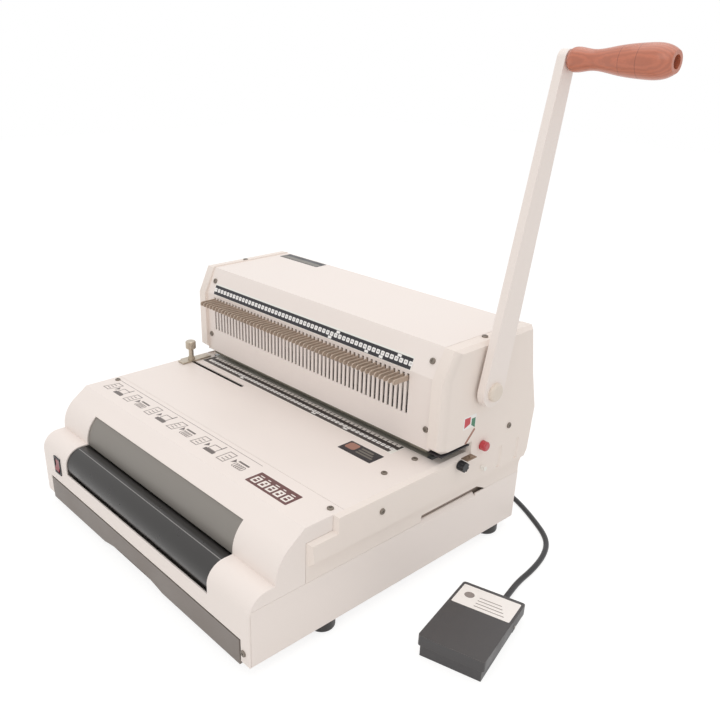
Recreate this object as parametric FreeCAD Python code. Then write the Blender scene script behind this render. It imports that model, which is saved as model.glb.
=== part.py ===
"""Desk machine that punches a row of round holes and winds a plastic coil through them.

Frame: +X to the operator's right, +Y to the back, +Z up, millimetres.
The origin is the centre of the base pan's flat underside. The rubber feet reach below it.
"""
import FreeCAD, Part
import math
import os

V = FreeCAD.Vector
X_AXIS = V(1, 0, 0)
Y_AXIS = V(0, 1, 0)
Z_AXIS = V(0, 0, 1)

# Overall size of the case
BODY_WIDTH = 400.0
BODY_DEPTH = 378.0
PAN_HEIGHT = 59.0
PLATE_TOP = 118.0
TOWER_HEIGHT = 116.0
FOOT_HEIGHT = 12.0
SHEET = 1.5
SEAM_GAP = 0.3
TOUCH_GAP = 0.3
RUN_GAP = 0.05
HALF_WIDTH = BODY_WIDTH / 2
FRONT_Y = -BODY_DEPTH / 2
BACK_Y = BODY_DEPTH / 2
FLOOR_Z = -FOOT_HEIGHT
TOWER_TOP = PLATE_TOP + TOWER_HEIGHT

# Front cover profile, seen from the side
BUMP_RADIUS = 20.0
BUMP_TOP = 73.0
VALLEY_SETBACK = 29.0
SLOPE_DEG = 35.5
SLOPE_RADIUS = 38.0
SLOPE_TOP_SETBACK = 62.0
COVER_TOP_DEPTH = 107.0
CHEEK_DEPTH = 62.6
TONGUE_DEPTH = 94.0
TONGUE_HEIGHT = 16.0

# Coil trough and its roller
TROUGH_LEFT = 58.0 - HALF_WIDTH
TROUGH_RIGHT = HALF_WIDTH - 62.0
TROUGH_LIP = 43.0
TROUGH_TOP_ALONG_SLOPE = 19.5
ROLLER_RADIUS = 19.0
ROLLER_SHAFT_RADIUS = 5.0
ROLLER_BUSH_WALL = 2.5
ROLLER_END_GAP = 1.9
LINER_GAP = 0.2
LINER_CLEARANCE = 3.0
CHEEK_OFFSET = 1.5
ROLLER_Y = FRONT_Y + BUMP_RADIUS + 0.5
ROLLER_Z = BUMP_TOP - BUMP_RADIUS
ROLLER_PULLEY_RADIUS = 12.0
PULLEY_X = TROUGH_LEFT - 9.5
MOTOR_PULLEY_RADIUS = 8.0
BELT_WIDTH = 6.0
BELT_THICK = 1.5
MOTOR_Y = ROLLER_Y + 60.5
MOTOR_Z = 62.0
MOTOR_RADIUS = 25.0
MOTOR_LENGTH = 66.0
MOTOR_SHAFT_RADIUS = 3.0
MOTOR_FOOT_HALF = 28.0
MOTOR_SADDLE_HALF = 16.0

# Chip drawer
DRAWER_FACE_WIDTH = BODY_WIDTH - 29.0
DRAWER_FACE_TOP = 22.3
DRAWER_FACE_BOTTOM = -5.0
DRAWER_FACE_THICK = 3.2
DRAWER_FACE_PROUD = 0.4
DRAWER_TRAY_WIDTH = DRAWER_FACE_WIDTH - 15.0
DRAWER_TRAY_DEPTH = BODY_DEPTH - 93.0
DRAWER_WALL = 1.5
DRAWER_GAP = 1.5
DRAWER_LIFT = 0.3
FINGER_CUT_WIDTH = 118.0
FINGER_CUT_RISE = 6.5
FINGER_CUT_X = -2.5
DECK_Z = 23.0
DECK_THICK = 2.0
DECK_TOP = DECK_Z + DECK_THICK
CHUTE_SIDE_GAP = 4.0

# Power switch
SWITCH_X = 36.0 - HALF_WIDTH
SWITCH_Z = 46.0
SWITCH_WIDTH = 13.0
SWITCH_HEIGHT = 19.0
SWITCH_RIM = 1.2
SWITCH_DEPTH = 20.0
SWITCH_WELL_DEPTH = 14.0
ROCKER_RADIUS = 8.2
ROCKER_WIDTH = 10.0
ROCKER_SINK = 3.5
ROCKER_PROUD = 0.5
ROCKER_SWING_DEG = 20.0

# Punching tower
TOWER_FRONT = BACK_Y - 145.0
TOWER_BEND_Z = TOWER_TOP - 30.0
TOWER_TOP_FRONT = TOWER_FRONT + 13.0
TOWER_TOP_BACK = BACK_Y - 13.0
TOWER_BOTTOM = PLATE_TOP + 10.0
COVER_INNER = HALF_WIDTH - 12.0
SHELL_HALF = COVER_INNER - 0.5
SLOT_WIDTH = 2.9
SLOT_BOTTOM = PLATE_TOP + 40.0
TAB_THICK = 1.3
TAB_HEIGHT = 5.5
TAB_LOW = PLATE_TOP + 75.5
SLOT_TOP = TAB_LOW + TAB_HEIGHT + 1.5
TAB_TIP_Y = TOWER_FRONT - 22.0
TAB_TAIL_Y = TOWER_FRONT + 22.5
DIE_LINE_Y = TOWER_FRONT + 18.0
PIN_RADIUS = 2.0
THROAT_GAP = 4.8
DIE_THICK = 18.0
DIE_FRONT = TOWER_FRONT + 4.0
DIE_BACK = DIE_FRONT + 48.0
DIE_TOP = PLATE_TOP
STRIPPER_THICK = 13.0
STRIPPER_BOTTOM = DIE_TOP + THROAT_GAP
STRIPPER_TOP = STRIPPER_BOTTOM + STRIPPER_THICK
STOP_FRONT = DIE_LINE_Y + 5.5
STOP_DEPTH = 8.0
STOP_THICK = 3.6
STOP_OVERHANG = 8.0

# Side frames, ram and its drive
FRAME_THICK = 5.0
FRAME_OUTER = SHELL_HALF - 0.5
FRAME_INNER = FRAME_OUTER - FRAME_THICK
FRAME_FRONT = TOWER_FRONT + 6.0
FRAME_BACK = FRAME_FRONT + 90.0
FRAME_TOP = TOWER_TOP - 6.0
FRAME_NECK_Z = TOWER_BEND_Z + 2.0
RAM_FRONT = DIE_LINE_Y - 10.0
RAM_BACK = DIE_LINE_Y + 12.0
RAM_HEIGHT = 16.0
RAM_END_GAP = 0.4
RAM_BOTTOM = TAB_LOW + TAB_HEIGHT + TOUCH_GAP
RAM_TOP = RAM_BOTTOM + RAM_HEIGHT
HOLDER_HEIGHT = 16.0
HOLDER_REACH = FRAME_INNER - 6.0
HOLDER_TOP = TAB_LOW - TOUCH_GAP
HOLDER_BOTTOM = HOLDER_TOP - HOLDER_HEIGHT
GIB_WIDTH = 6.0
GIB_DEPTH = 5.0
SHAFT_RADIUS = 8.0
BUSH_RADIUS = 11.0
GEAR_MODULE = 1.5
PINION_TEETH = 18
PRESSURE_DEG = 20.0
BACKLASH = 0.35
GEAR_WIDTH = 12.0
PITCH_RADIUS = GEAR_MODULE * PINION_TEETH / 2
RACK_PITCH_Y = RAM_BACK + 14.5
PIVOT_Y = RACK_PITCH_Y + PITCH_RADIUS
PIVOT_Z = PLATE_TOP + 67.0
RACK_TEETH_BELOW = 2
RACK_TEETH_ABOVE = 7
PINION_X = FRAME_INNER - 42.0
SPRING_X = FRAME_INNER - 14.0
SPRING_RADIUS = 4.5
SPRING_WIRE = 0.8
SPRING_Y = RAM_BACK + 9.0
SPRING_EAR_HALF = 7.0
SPRING_TURNS = 10

# Punches, as many as fit between the side frames
PIN_PITCH = 6.2865
PIN_ROW_X = -8.5
PIN_END_ROOM = 28.0
PIN_COUNT = int((2 * FRAME_INNER - PIN_END_ROOM) / PIN_PITCH)
PIN_HEAD = 2.7
PIN_HEAD_HEIGHT = 2.0
PIN_TIP_Z = STRIPPER_BOTTOM + 1.2

# Side covers
PANEL_RISE = 4.5
COVER_WALL = 2.5
COVER_SEAM = 0.4
PANEL_FACE_X = HALF_WIDTH + PANEL_RISE
PANEL_LOW = PAN_HEIGHT + 17.0
GRIP_FRONT_Y = DIE_FRONT - 22.0
GRIP_BACK_Y = GRIP_FRONT_Y + 88.0
GRIP_TOP = PAN_HEIGHT + 8.0
GRIP_RAMP = 15.0
THROAT_END_Y = DIE_FRONT + 40.0
COVER_FRONT_Y = TOWER_FRONT - 4.0
SCOOP_RADIUS = 4.5

# Handle
LEVER_INNER_X = PANEL_FACE_X + 3.0
LEVER_THICK = 8.5
LEVER_OUTER_X = LEVER_INNER_X + LEVER_THICK
LEVER_END_RADIUS = 16.0
LEVER_TIP_RADIUS = 8.5
GRIP_Y = PIVOT_Y + 53.5
GRIP_Z = PIVOT_Z + 295.8
GRIP_LENGTH = 93.0
GRIP_END_RADIUS = 8.7
GRIP_ROOT_RADIUS = 6.9
GRIP_BOLT_RADIUS = 4.0
GRIP_RECESS = 9.0
GRIP_RECESS_RADIUS = 5.4
SQUARE_SIDE = 11.0
LEVER_BOLT_HEAD = 9.5
LEVER_BOLT_HEIGHT = 4.5
LEVER_BOLT_SHANK = 3.0

# Foot pedal, measured from the surface that the machine stands on
PEDAL_X = HALF_WIDTH + 90.7
PEDAL_Y = 2.0
PEDAL_TURN_DEG = 15.2
PEDAL_WIDTH = 59.0
PEDAL_LENGTH = 100.0
PEDAL_BASE_HEIGHT = 11.0
PEDAL_WALL = 2.0
TREADLE_GAP = 0.7
TREADLE_WALL = 1.6
TREADLE_FRONT_HEIGHT = 24.0
TREADLE_BACK_HEIGHT = 17.5
TREADLE_SKIRT = 11.0
TREADLE_CORNER = 3.0
PEDAL_PIN_Y = 23.5
PEDAL_PIN_Z = 10.0
PEDAL_PIN_RADIUS = 1.5
PEDAL_LUG = 4.0
CORD_EXIT_X = 8.0
CORD_EXIT_Z = 6.5
GLAND_LENGTH = 8.0
GLAND_RADIUS = 4.5

# Pedal cord
CORD_RADIUS = 3.0
COIL_X = 38.0
COIL_Y = BACK_Y + 63.0
COIL_RADIUS = 36.0
JACK_X = 110.0
JACK_Z = 30.0
JACK_RADIUS = 5.0
JACK_NUT = 2.5
PLUG_RADIUS = 6.0
PLUG_LENGTH = 24.0
PLUG_PIN_RADIUS = 3.0
PLUG_GAP = 0.5

# Small pieces
FOOT_RADIUS = 13.5
FOOT_X = HALF_WIDTH - FOOT_RADIUS
FOOT_FRONT_Y = FRONT_Y + 95.0
FOOT_BACK_Y = BACK_Y - 31.0
PAN_BEVEL = 4.0
INLET_X = -120.0
INLET_Z = 38.0
INLET_WIDTH = 27.0
INLET_HEIGHT = 20.0
INLET_FLANGE = 3.0
REAR_BEND_Z = TOWER_TOP - 84.0
KNOB_STEM = 3.0
MARGIN_KNOB_Y = THROAT_END_Y - 14.5
MARGIN_KNOB_Z = PLATE_TOP - 8.5
MARGIN_KNOB_RADIUS = 5.2
LOCK_KNOB_Y = THROAT_END_Y + 19.8
LOCK_KNOB_Z = PLATE_TOP + 2.6
LOCK_KNOB_RADIUS = 5.2
MARGIN_PLATE_FRONT = THROAT_END_Y - 12.5
MARGIN_PLATE_BACK = THROAT_END_Y + 2.3
MARGIN_PLATE_TOP = PLATE_TOP - 1.5
MARGIN_PLATE_OUT = 8.2
MARGIN_PLATE_THICK = 1.0
MARGIN_SCREW_RADIUS = 2.6
EDGE_GUIDE_X = 12.0 - HALF_WIDTH
EDGE_SLOT_Y = TOWER_FRONT - 29.5
EDGE_SLOT_HALF = 2.7
EDGE_SLOT_LENGTH = 110.0
EDGE_TONGUE_HALF = 3.0
EDGE_FOOT_HALF = 6.0
EDGE_FOOT_THICK = 3.0
STRIP_LIFT = 0.5
STRIP_THICK = 1.8
RULER_THICK = 0.2
PLATE_RULER_LEFT = 19.0 - HALF_WIDTH
PLATE_RULER_RIGHT = HALF_WIDTH - 45.0
PLATE_RULER_FRONT = DIE_FRONT - 22.0
PLATE_RULER_WIDTH = 20.5
TOWER_RULER_LEFT = 25.0 - HALF_WIDTH
TOWER_RULER_RIGHT = HALF_WIDTH - 43.0
TOWER_RULER_WIDTH = 14.0
TOWER_RULER_RAISE = 0.3
SCREW_HEAD = 3.2
SCREW_HEAD_HEIGHT = 1.5
SCREW_SHANK = 1.5
SCREW_LENGTH = 6.0
SCREW_MARGIN = 9.0
PLATE_SCREW_X = HALF_WIDTH - 22.0
TOWER_SCREW_X = HALF_WIDTH - 7.0
FACET_SCREW_X = FRAME_INNER - 3.4
FRONT_SCREW_X = FRAME_INNER
DRIVE_WIDTH = 0.8
DRIVE_DEPTH = 0.8


# Basic solids

def box(x0, x1, y0, y1, z0, z1):
    """Box between two corners."""
    return Part.makeBox(x1 - x0, y1 - y0, z1 - z0, V(x0, y0, z0))


def rod_x(x0, x1, y, z, radius):
    """Round bar along X."""
    return Part.makeCylinder(radius, x1 - x0, V(x0, y, z), X_AXIS)


def rod_y(x, y0, y1, z, radius):
    """Round bar along Y."""
    return Part.makeCylinder(radius, y1 - y0, V(x, y0, z), Y_AXIS)


def rod_z(x, y, z0, z1, radius):
    """Round bar along Z."""
    return Part.makeCylinder(radius, z1 - z0, V(x, y, z0), Z_AXIS)


def prism_x(points, x0, x1):
    """Solid with a side outline of (y, z) points, from x0 to x1."""
    ring = [V(x0, y, z) for y, z in points]
    return Part.Face(Part.makePolygon(ring + ring[:1])).extrude(V(x1 - x0, 0, 0))


def prism_z(points, z0, z1):
    """Solid with a plan outline of (x, y) points, from z0 to z1."""
    ring = [V(x, y, z0) for x, y in points]
    return Part.Face(Part.makePolygon(ring + ring[:1])).extrude(V(0, 0, z1 - z0))


def joined(shapes):
    """One solid from touching shapes."""
    result = shapes[0]
    for shape in shapes[1:]:
        result = result.fuse(shape)
    return result.removeSplitter()


def group(shapes):
    """Several separate solids kept in one node."""
    return Part.makeCompound([solid for shape in shapes for solid in shape.Solids])


def without(shape, tools):
    """A shape less a list of cutting shapes."""
    return shape.cut(Part.makeCompound(tools))


def mirrored(shape):
    """The same shape on the machine's left side."""
    return shape.mirror(V(0, 0, 0), X_AXIS)


def pin_places():
    """The X positions of the punches."""
    first = PIN_ROW_X - PIN_PITCH * (PIN_COUNT - 1) / 2
    return [first + PIN_PITCH * index for index in range(PIN_COUNT)]


# Front cover

def cover_edges(depth, x):
    """Edges of the front cover's side profile, moved inwards by a depth."""
    slope = math.radians(SLOPE_DEG)
    bump_y = FRONT_Y + BUMP_RADIUS
    bump_z = BUMP_TOP - BUMP_RADIUS
    bump_r = BUMP_RADIUS - depth
    valley_y = FRONT_Y + VALLEY_SETBACK
    bend_y = valley_y + SLOPE_RADIUS
    slope_top_y = FRONT_Y + SLOPE_TOP_SETBACK
    run = slope_top_y - (bend_y - SLOPE_RADIUS * math.sin(slope))
    bend_z = PLATE_TOP - run * math.tan(slope) - SLOPE_RADIUS * math.cos(slope)
    bend_r = SLOPE_RADIUS - depth
    middle = slope / 2
    eighth = math.sqrt(0.5)

    def point(y, z):
        return V(x, y, z)

    bottom = point(FRONT_Y + depth, 0)
    bump_start = point(FRONT_Y + depth, bump_z)
    bump_middle = point(bump_y - bump_r * eighth, bump_z + bump_r * eighth)
    bump_end = point(bump_y, BUMP_TOP - depth)
    valley = point(valley_y + depth, BUMP_TOP - depth)
    bend_start = point(valley_y + depth, bend_z)
    turn = math.pi / 4 - middle
    bend_middle = point(bend_y - bend_r * math.cos(turn), bend_z + bend_r * math.sin(turn))
    bend_end = point(bend_y - bend_r * math.sin(slope), bend_z + bend_r * math.cos(slope))
    slope_end = point(slope_top_y + depth * math.tan(middle), PLATE_TOP - depth)
    top_end = point(FRONT_Y + COVER_TOP_DEPTH, PLATE_TOP - depth)
    return {
        "front": Part.LineSegment(bottom, bump_start).toShape(),
        "bump": Part.Arc(bump_start, bump_middle, bump_end).toShape(),
        "valley": Part.LineSegment(bump_end, valley).toShape(),
        "rise": Part.LineSegment(valley, bend_start).toShape(),
        "bend": Part.Arc(bend_start, bend_middle, bend_end).toShape(),
        "slope": Part.LineSegment(bend_end, slope_end).toShape(),
        "top": Part.LineSegment(slope_end, top_end).toShape(),
    }


def strip_face(outer, inner):
    """Flat face between two open runs of edges that go the same way."""
    first = outer[0].Vertexes[0].Point
    first_in = inner[0].Vertexes[0].Point
    last = outer[-1].Vertexes[-1].Point
    last_in = inner[-1].Vertexes[-1].Point
    caps = [Part.LineSegment(last, last_in).toShape(), Part.LineSegment(first_in, first).toShape()]
    return Part.Face(Part.Wire(Part.__sortEdges__(outer + inner + caps)))


def cover_cheek(x0, x1):
    """Side wall of the front cover, with the tongue that reaches over the side cover."""
    edges = cover_edges(SHEET * 0.5, x0)
    names = ["front", "bump", "valley", "rise", "bend", "slope", "top"]
    run = [edges[name] for name in names]
    start = run[0].Vertexes[0].Point
    end = run[-1].Vertexes[-1].Point
    middle = V(x0, end.y, start.z)
    closing = [Part.LineSegment(end, middle).toShape(), Part.LineSegment(middle, start).toShape()]
    full = Part.Face(Part.Wire(Part.__sortEdges__(run + closing))).extrude(V(x1 - x0, 0, 0))
    low = PAN_HEIGHT + SEAM_GAP
    tongue_low = PLATE_TOP - TONGUE_HEIGHT
    keep = joined([
        box(x0, x1, FRONT_Y, FRONT_Y + CHEEK_DEPTH, low, PLATE_TOP),
        box(x0, x1, FRONT_Y, FRONT_Y + TONGUE_DEPTH, tongue_low, PLATE_TOP),
        box(x0, x1, FRONT_Y, FRONT_Y + SHEET, 0, PLATE_TOP),
    ])
    return full.common(keep)


def trough_opening():
    """Cutter for the long window that shows the roller and the trough's back wall."""
    slope = math.radians(SLOPE_DEG)
    top_y = FRONT_Y + SLOPE_TOP_SETBACK - TROUGH_TOP_ALONG_SLOPE
    top_z = PLATE_TOP - TROUGH_TOP_ALONG_SLOPE * math.tan(slope)
    over = 10.0
    outline = [
        (FRONT_Y - over, TROUGH_LIP),
        (FRONT_Y + over, TROUGH_LIP),
        (top_y + over * math.sin(slope), top_z - over * math.cos(slope)),
        (top_y - over * math.sin(slope), top_z + over * math.cos(slope)),
        (FRONT_Y - over, top_z + over * math.cos(slope)),
    ]
    return prism_x(outline, TROUGH_LEFT, TROUGH_RIGHT)


def front_cover():
    """Bent sheet cover from the front face over the trough to the top plate."""
    names = ["front", "bump", "valley", "rise", "bend", "slope", "top"]
    outer = cover_edges(0, -HALF_WIDTH)
    inner = cover_edges(SHEET, -HALF_WIDTH)
    face = strip_face([outer[name] for name in names], [inner[name] for name in names])
    skin = face.extrude(V(BODY_WIDTH, 0, 0))
    half_drawer = DRAWER_FACE_WIDTH / 2 + DRAWER_GAP
    drawer_top = DRAWER_FACE_TOP + DRAWER_GAP
    drawer = box(-half_drawer, half_drawer, FRONT_Y - 1, FRONT_Y + SHEET + 1, -1, drawer_top)
    switch = box(
        SWITCH_X - SWITCH_WIDTH / 2, SWITCH_X + SWITCH_WIDTH / 2, FRONT_Y - 1, FRONT_Y + SHEET + 1,
        SWITCH_Z - SWITCH_HEIGHT / 2, SWITCH_Z + SWITCH_HEIGHT / 2)
    skin = without(skin, [drawer, switch, trough_opening()] + screw_holes())
    right = cover_cheek(HALF_WIDTH - SHEET, HALF_WIDTH)
    left = cover_cheek(-HALF_WIDTH, -HALF_WIDTH + SHEET)
    return joined([skin, right, left])


def trough_liner():
    """Grey lining behind the window: back wall, cradle round the roller and two end cheeks."""
    x0 = TROUGH_LEFT - CHEEK_OFFSET
    x1 = TROUGH_RIGHT + CHEEK_OFFSET
    outer_depth = SHEET + LINER_GAP
    outer = cover_edges(outer_depth, x0)
    inner = cover_edges(outer_depth + SHEET, x0)
    wall_names = ["rise", "bend", "slope"]
    wall = strip_face([outer[name] for name in wall_names], [inner[name] for name in wall_names])
    wall = wall.extrude(V(x1 - x0, 0, 0))
    cradle_in = ROLLER_RADIUS + LINER_CLEARANCE
    cradle_out = cradle_in + SHEET
    tube = rod_x(x0, x1, ROLLER_Y, ROLLER_Z, cradle_out)
    tube = tube.cut(rod_x(x0 - 1, x1 + 1, ROLLER_Y, ROLLER_Z, cradle_in))
    wall_y = FRONT_Y + VALLEY_SETBACK + outer_depth
    front_limit = FRONT_Y + SHEET + 2.0
    keep = joined([
        box(x0, x1, wall_y, ROLLER_Y + 40, 0, PLATE_TOP),
        box(x0, x1, front_limit, wall_y, 0, ROLLER_Z - 12),
    ])
    cradle = tube.common(keep)
    cheek = rod_x(x0 - SHEET, x0, ROLLER_Y, ROLLER_Z, cradle_out)
    inside = BUMP_RADIUS - SHEET - TOUCH_GAP
    cheek_keep = joined([
        rod_x(x0 - SHEET, x0, FRONT_Y + BUMP_RADIUS, ROLLER_Z, inside),
        box(x0 - SHEET, x0, FRONT_Y + SHEET + TOUCH_GAP, ROLLER_Y, ROLLER_Z - 30, ROLLER_Z),
        box(x0 - SHEET, x0, ROLLER_Y, ROLLER_Y + 40, ROLLER_Z - 30, BUMP_TOP - SHEET - TOUCH_GAP),
    ])
    cheek = cheek.common(cheek_keep)
    bush_hole = rod_x(x0 - SHEET - 1, x1 + SHEET + 1, ROLLER_Y, ROLLER_Z, ROLLER_SHAFT_RADIUS + ROLLER_BUSH_WALL)
    other = cheek.translated(V(x1 - x0 + SHEET, 0, 0))
    return joined([wall, cradle, cheek, other]).cut(bush_hole)


def top_plate():
    """Flat work plate between the front cover and the tower, with the slot of the edge guide."""
    front = FRONT_Y + COVER_TOP_DEPTH + SEAM_GAP
    plate = box(-HALF_WIDTH, HALF_WIDTH, front, DIE_FRONT - SEAM_GAP, PLATE_TOP - SHEET, PLATE_TOP)
    low = PLATE_TOP - 2 * SHEET
    high = PLATE_TOP + SHEET
    slot_left = EDGE_GUIDE_X - 2
    slot_right = slot_left + EDGE_SLOT_LENGTH
    slot = joined([
        box(slot_left, slot_right, EDGE_SLOT_Y - EDGE_SLOT_HALF, EDGE_SLOT_Y + EDGE_SLOT_HALF, low, high),
        rod_z(slot_left, EDGE_SLOT_Y, low, high, EDGE_SLOT_HALF),
        rod_z(slot_right, EDGE_SLOT_Y, low, high, EDGE_SLOT_HALF),
    ])
    return without(plate, [slot] + screw_holes())


# Screws that hold the case together

def screw_places():
    """Each screw's point on its surface and the direction it is driven in."""
    down = V(0, 0, -1)
    facet = V(0, TOWER_TOP - TOWER_BEND_Z, TOWER_FRONT - TOWER_TOP_FRONT).normalize()
    facet_y = (TOWER_FRONT + TOWER_TOP_FRONT) / 2
    facet_z = (TOWER_BEND_Z + TOWER_TOP) / 2
    low_z = DRAWER_FACE_TOP / 2
    front_z = SLOT_BOTTOM - 8
    places = [(V(HALF_WIDTH - SCREW_MARGIN, FRONT_Y, low_z), Y_AXIS)]
    places += [(V(PLATE_SCREW_X, DIE_FRONT - back, PLATE_TOP), down) for back in (56, 12.5)]
    for side in (-1, 1):
        places.append((V(side * (HALF_WIDTH - SCREW_MARGIN), FRONT_Y + COVER_TOP_DEPTH - 8, PLATE_TOP), down))
        places.append((V(side * TOWER_SCREW_X, PIVOT_Y + 7, TOWER_TOP), down))
        places.append((V(side * FACET_SCREW_X, facet_y, facet_z), facet))
        places.append((V(side * FRONT_SCREW_X, TOWER_FRONT, front_z), Y_AXIS))
        places.append((V(side * PANEL_FACE_X, BACK_Y - 37, PLATE_TOP + 11), V(-side, 0, 0)))
        places.append((V(side * PANEL_FACE_X, FRONT_Y + 152, PLATE_TOP - 18), V(-side, 0, 0)))
    return places


def screw_holes():
    """Clearance holes for the shanks of all case screws."""
    holes = []
    for point, direction in screw_places():
        start = point - direction * 2
        holes.append(Part.makeCylinder(SCREW_SHANK + RUN_GAP, SCREW_LENGTH + 4, start, direction))
    return holes


def case_screws():
    """Pan-head screws with a crossed drive, one for each place."""
    screws = []
    for point, direction in screw_places():
        top = point - direction * SCREW_HEAD_HEIGHT
        head = Part.makeCylinder(SCREW_HEAD, SCREW_HEAD_HEIGHT, top, direction)
        rim = [edge for edge in head.Edges if len(edge.Vertexes) == 1 and edge.CenterOfMass.sub(top).Length < 0.01]
        head = head.makeFillet(SCREW_HEAD_HEIGHT * 0.5, rim)
        shank = Part.makeCylinder(SCREW_SHANK, SCREW_LENGTH, point, direction)
        across = X_AXIS if abs(direction.x) < 0.5 else Y_AXIS
        other = direction.cross(across)
        half = SCREW_HEAD * 0.55
        recess = []
        for first, second in ((across, other), (other, across)):
            corner = top - first * half - second * DRIVE_WIDTH / 2
            face = Part.Face(Part.makePolygon([
                corner, corner + first * 2 * half, corner + first * 2 * half + second * DRIVE_WIDTH,
                corner + second * DRIVE_WIDTH, corner]))
            recess.append(face.extrude(direction * DRIVE_DEPTH))
        screws.append(without(joined([head, shank]), recess))
    return group(screws)


# Base pan and what stands in it

def base_pan():
    """Folded sheet pan: floor, two sides and the back."""
    front = FRONT_Y + SHEET + SEAM_GAP
    floor_front = FRONT_Y + DRAWER_FACE_THICK + SEAM_GAP
    solid = box(-HALF_WIDTH, HALF_WIDTH, front, BACK_Y, 0, PAN_HEIGHT)
    inner = box(-HALF_WIDTH + SHEET, HALF_WIDTH - SHEET, front - 1, BACK_Y - SHEET, SHEET, PAN_HEIGHT + 1)
    lip = box(-HALF_WIDTH + SHEET, HALF_WIDTH - SHEET, front - 1, floor_front, -1, SHEET + 1)
    bevels = []
    cuts = [inner, lip]
    low = PAN_HEIGHT - PAN_BEVEL
    for side in (-1, 1):
        face_x = side * HALF_WIDTH
        ring = [
            (face_x, low), (face_x - side * SHEET, low),
            (face_x - side * (PAN_BEVEL + SHEET), PAN_HEIGHT), (face_x - side * PAN_BEVEL, PAN_HEIGHT)]
        outline = [V(x, GRIP_FRONT_Y + 1, z) for x, z in ring]
        bevel = Part.Face(Part.makePolygon(outline + outline[:1]))
        bevels.append(bevel.extrude(V(0, GRIP_BACK_Y - GRIP_FRONT_Y - 2, 0)))
        edge = sorted([face_x - side * SHEET * 2, face_x + side])
        cuts.append(box(edge[0], edge[1], GRIP_FRONT_Y + 1, GRIP_BACK_Y - 1, low, PAN_HEIGHT + 1))
    cuts.append(box(
        INLET_X - INLET_WIDTH / 2, INLET_X + INLET_WIDTH / 2, BACK_Y - 5, BACK_Y + 1,
        INLET_Z - INLET_HEIGHT / 2, INLET_Z + INLET_HEIGHT / 2))
    cuts.append(rod_y(JACK_X, BACK_Y - 5, BACK_Y + 1, JACK_Z, JACK_RADIUS + RUN_GAP))
    return joined([without(solid, cuts)] + bevels)


def rubber_feet():
    """Four round feet with a rolled lower edge."""
    feet = []
    for x in (-FOOT_X, FOOT_X):
        for y in (FOOT_FRONT_Y, FOOT_BACK_Y):
            foot = rod_z(x, y, FLOOR_Z, 0, FOOT_RADIUS)
            rim = [edge for edge in foot.Edges if len(edge.Vertexes) == 1 and edge.CenterOfMass.z < FLOOR_Z + 1]
            feet.append(foot.makeFillet(FOOT_HEIGHT * 0.3, rim))
    return group(feet)


def inner_deck():
    """Shelf over the chip drawer, with two legs that guide the drawer and a chute under the die."""
    reach = HALF_WIDTH - SHEET - SEAM_GAP
    shelf = box(-reach, reach, FRONT_Y + 5, BACK_Y - SHEET - SEAM_GAP, DECK_Z, DECK_TOP)
    leg_x = DRAWER_TRAY_WIDTH / 2 + 1
    leg_back = FRONT_Y + DRAWER_TRAY_DEPTH + 4
    legs = [
        box(leg_x, leg_x + SHEET, FRONT_Y + 9, leg_back, SHEET, DECK_Z),
        box(-leg_x - SHEET, -leg_x, FRONT_Y + 9, leg_back, SHEET, DECK_Z)]
    chute_x = FRAME_INNER - CHUTE_SIDE_GAP
    chute = box(-chute_x, chute_x, DIE_FRONT + 4, RAM_BACK + 2, DECK_Z - 1, DECK_TOP + 1)
    return joined([shelf] + legs).cut(chute)


def chip_drawer():
    """Drawer for the punched chips: a tray with a front that hangs below the pan."""
    half = DRAWER_TRAY_WIDTH / 2
    face_front = FRONT_Y - DRAWER_FACE_PROUD
    face_back = face_front + DRAWER_FACE_THICK
    low = SHEET + DRAWER_LIFT
    high = DECK_Z - 2
    tray = box(-half, half, face_back, FRONT_Y + DRAWER_TRAY_DEPTH, low, high)
    hollow = box(
        -half + DRAWER_WALL, half - DRAWER_WALL, face_back + DRAWER_WALL,
        FRONT_Y + DRAWER_TRAY_DEPTH - DRAWER_WALL, low + DRAWER_WALL, high + 1)
    face_half = DRAWER_FACE_WIDTH / 2
    face = box(-face_half, face_half, face_front, face_back, DRAWER_FACE_BOTTOM, DRAWER_FACE_TOP)
    half_cut = FINGER_CUT_WIDTH / 2
    start = V(FINGER_CUT_X - half_cut, face_front - 1, DRAWER_FACE_BOTTOM)
    crown = V(FINGER_CUT_X, face_front - 1, DRAWER_FACE_BOTTOM + FINGER_CUT_RISE)
    end = V(FINGER_CUT_X + half_cut, face_front - 1, DRAWER_FACE_BOTTOM)
    bow = Part.Wire([Part.Arc(start, crown, end).toShape(), Part.LineSegment(end, start).toShape()])
    cut = Part.Face(bow).extrude(V(0, DRAWER_FACE_THICK + 1 - DRAWER_LIFT / 2, 0))
    return joined([tray.cut(hollow), face.cut(cut)])


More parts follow.
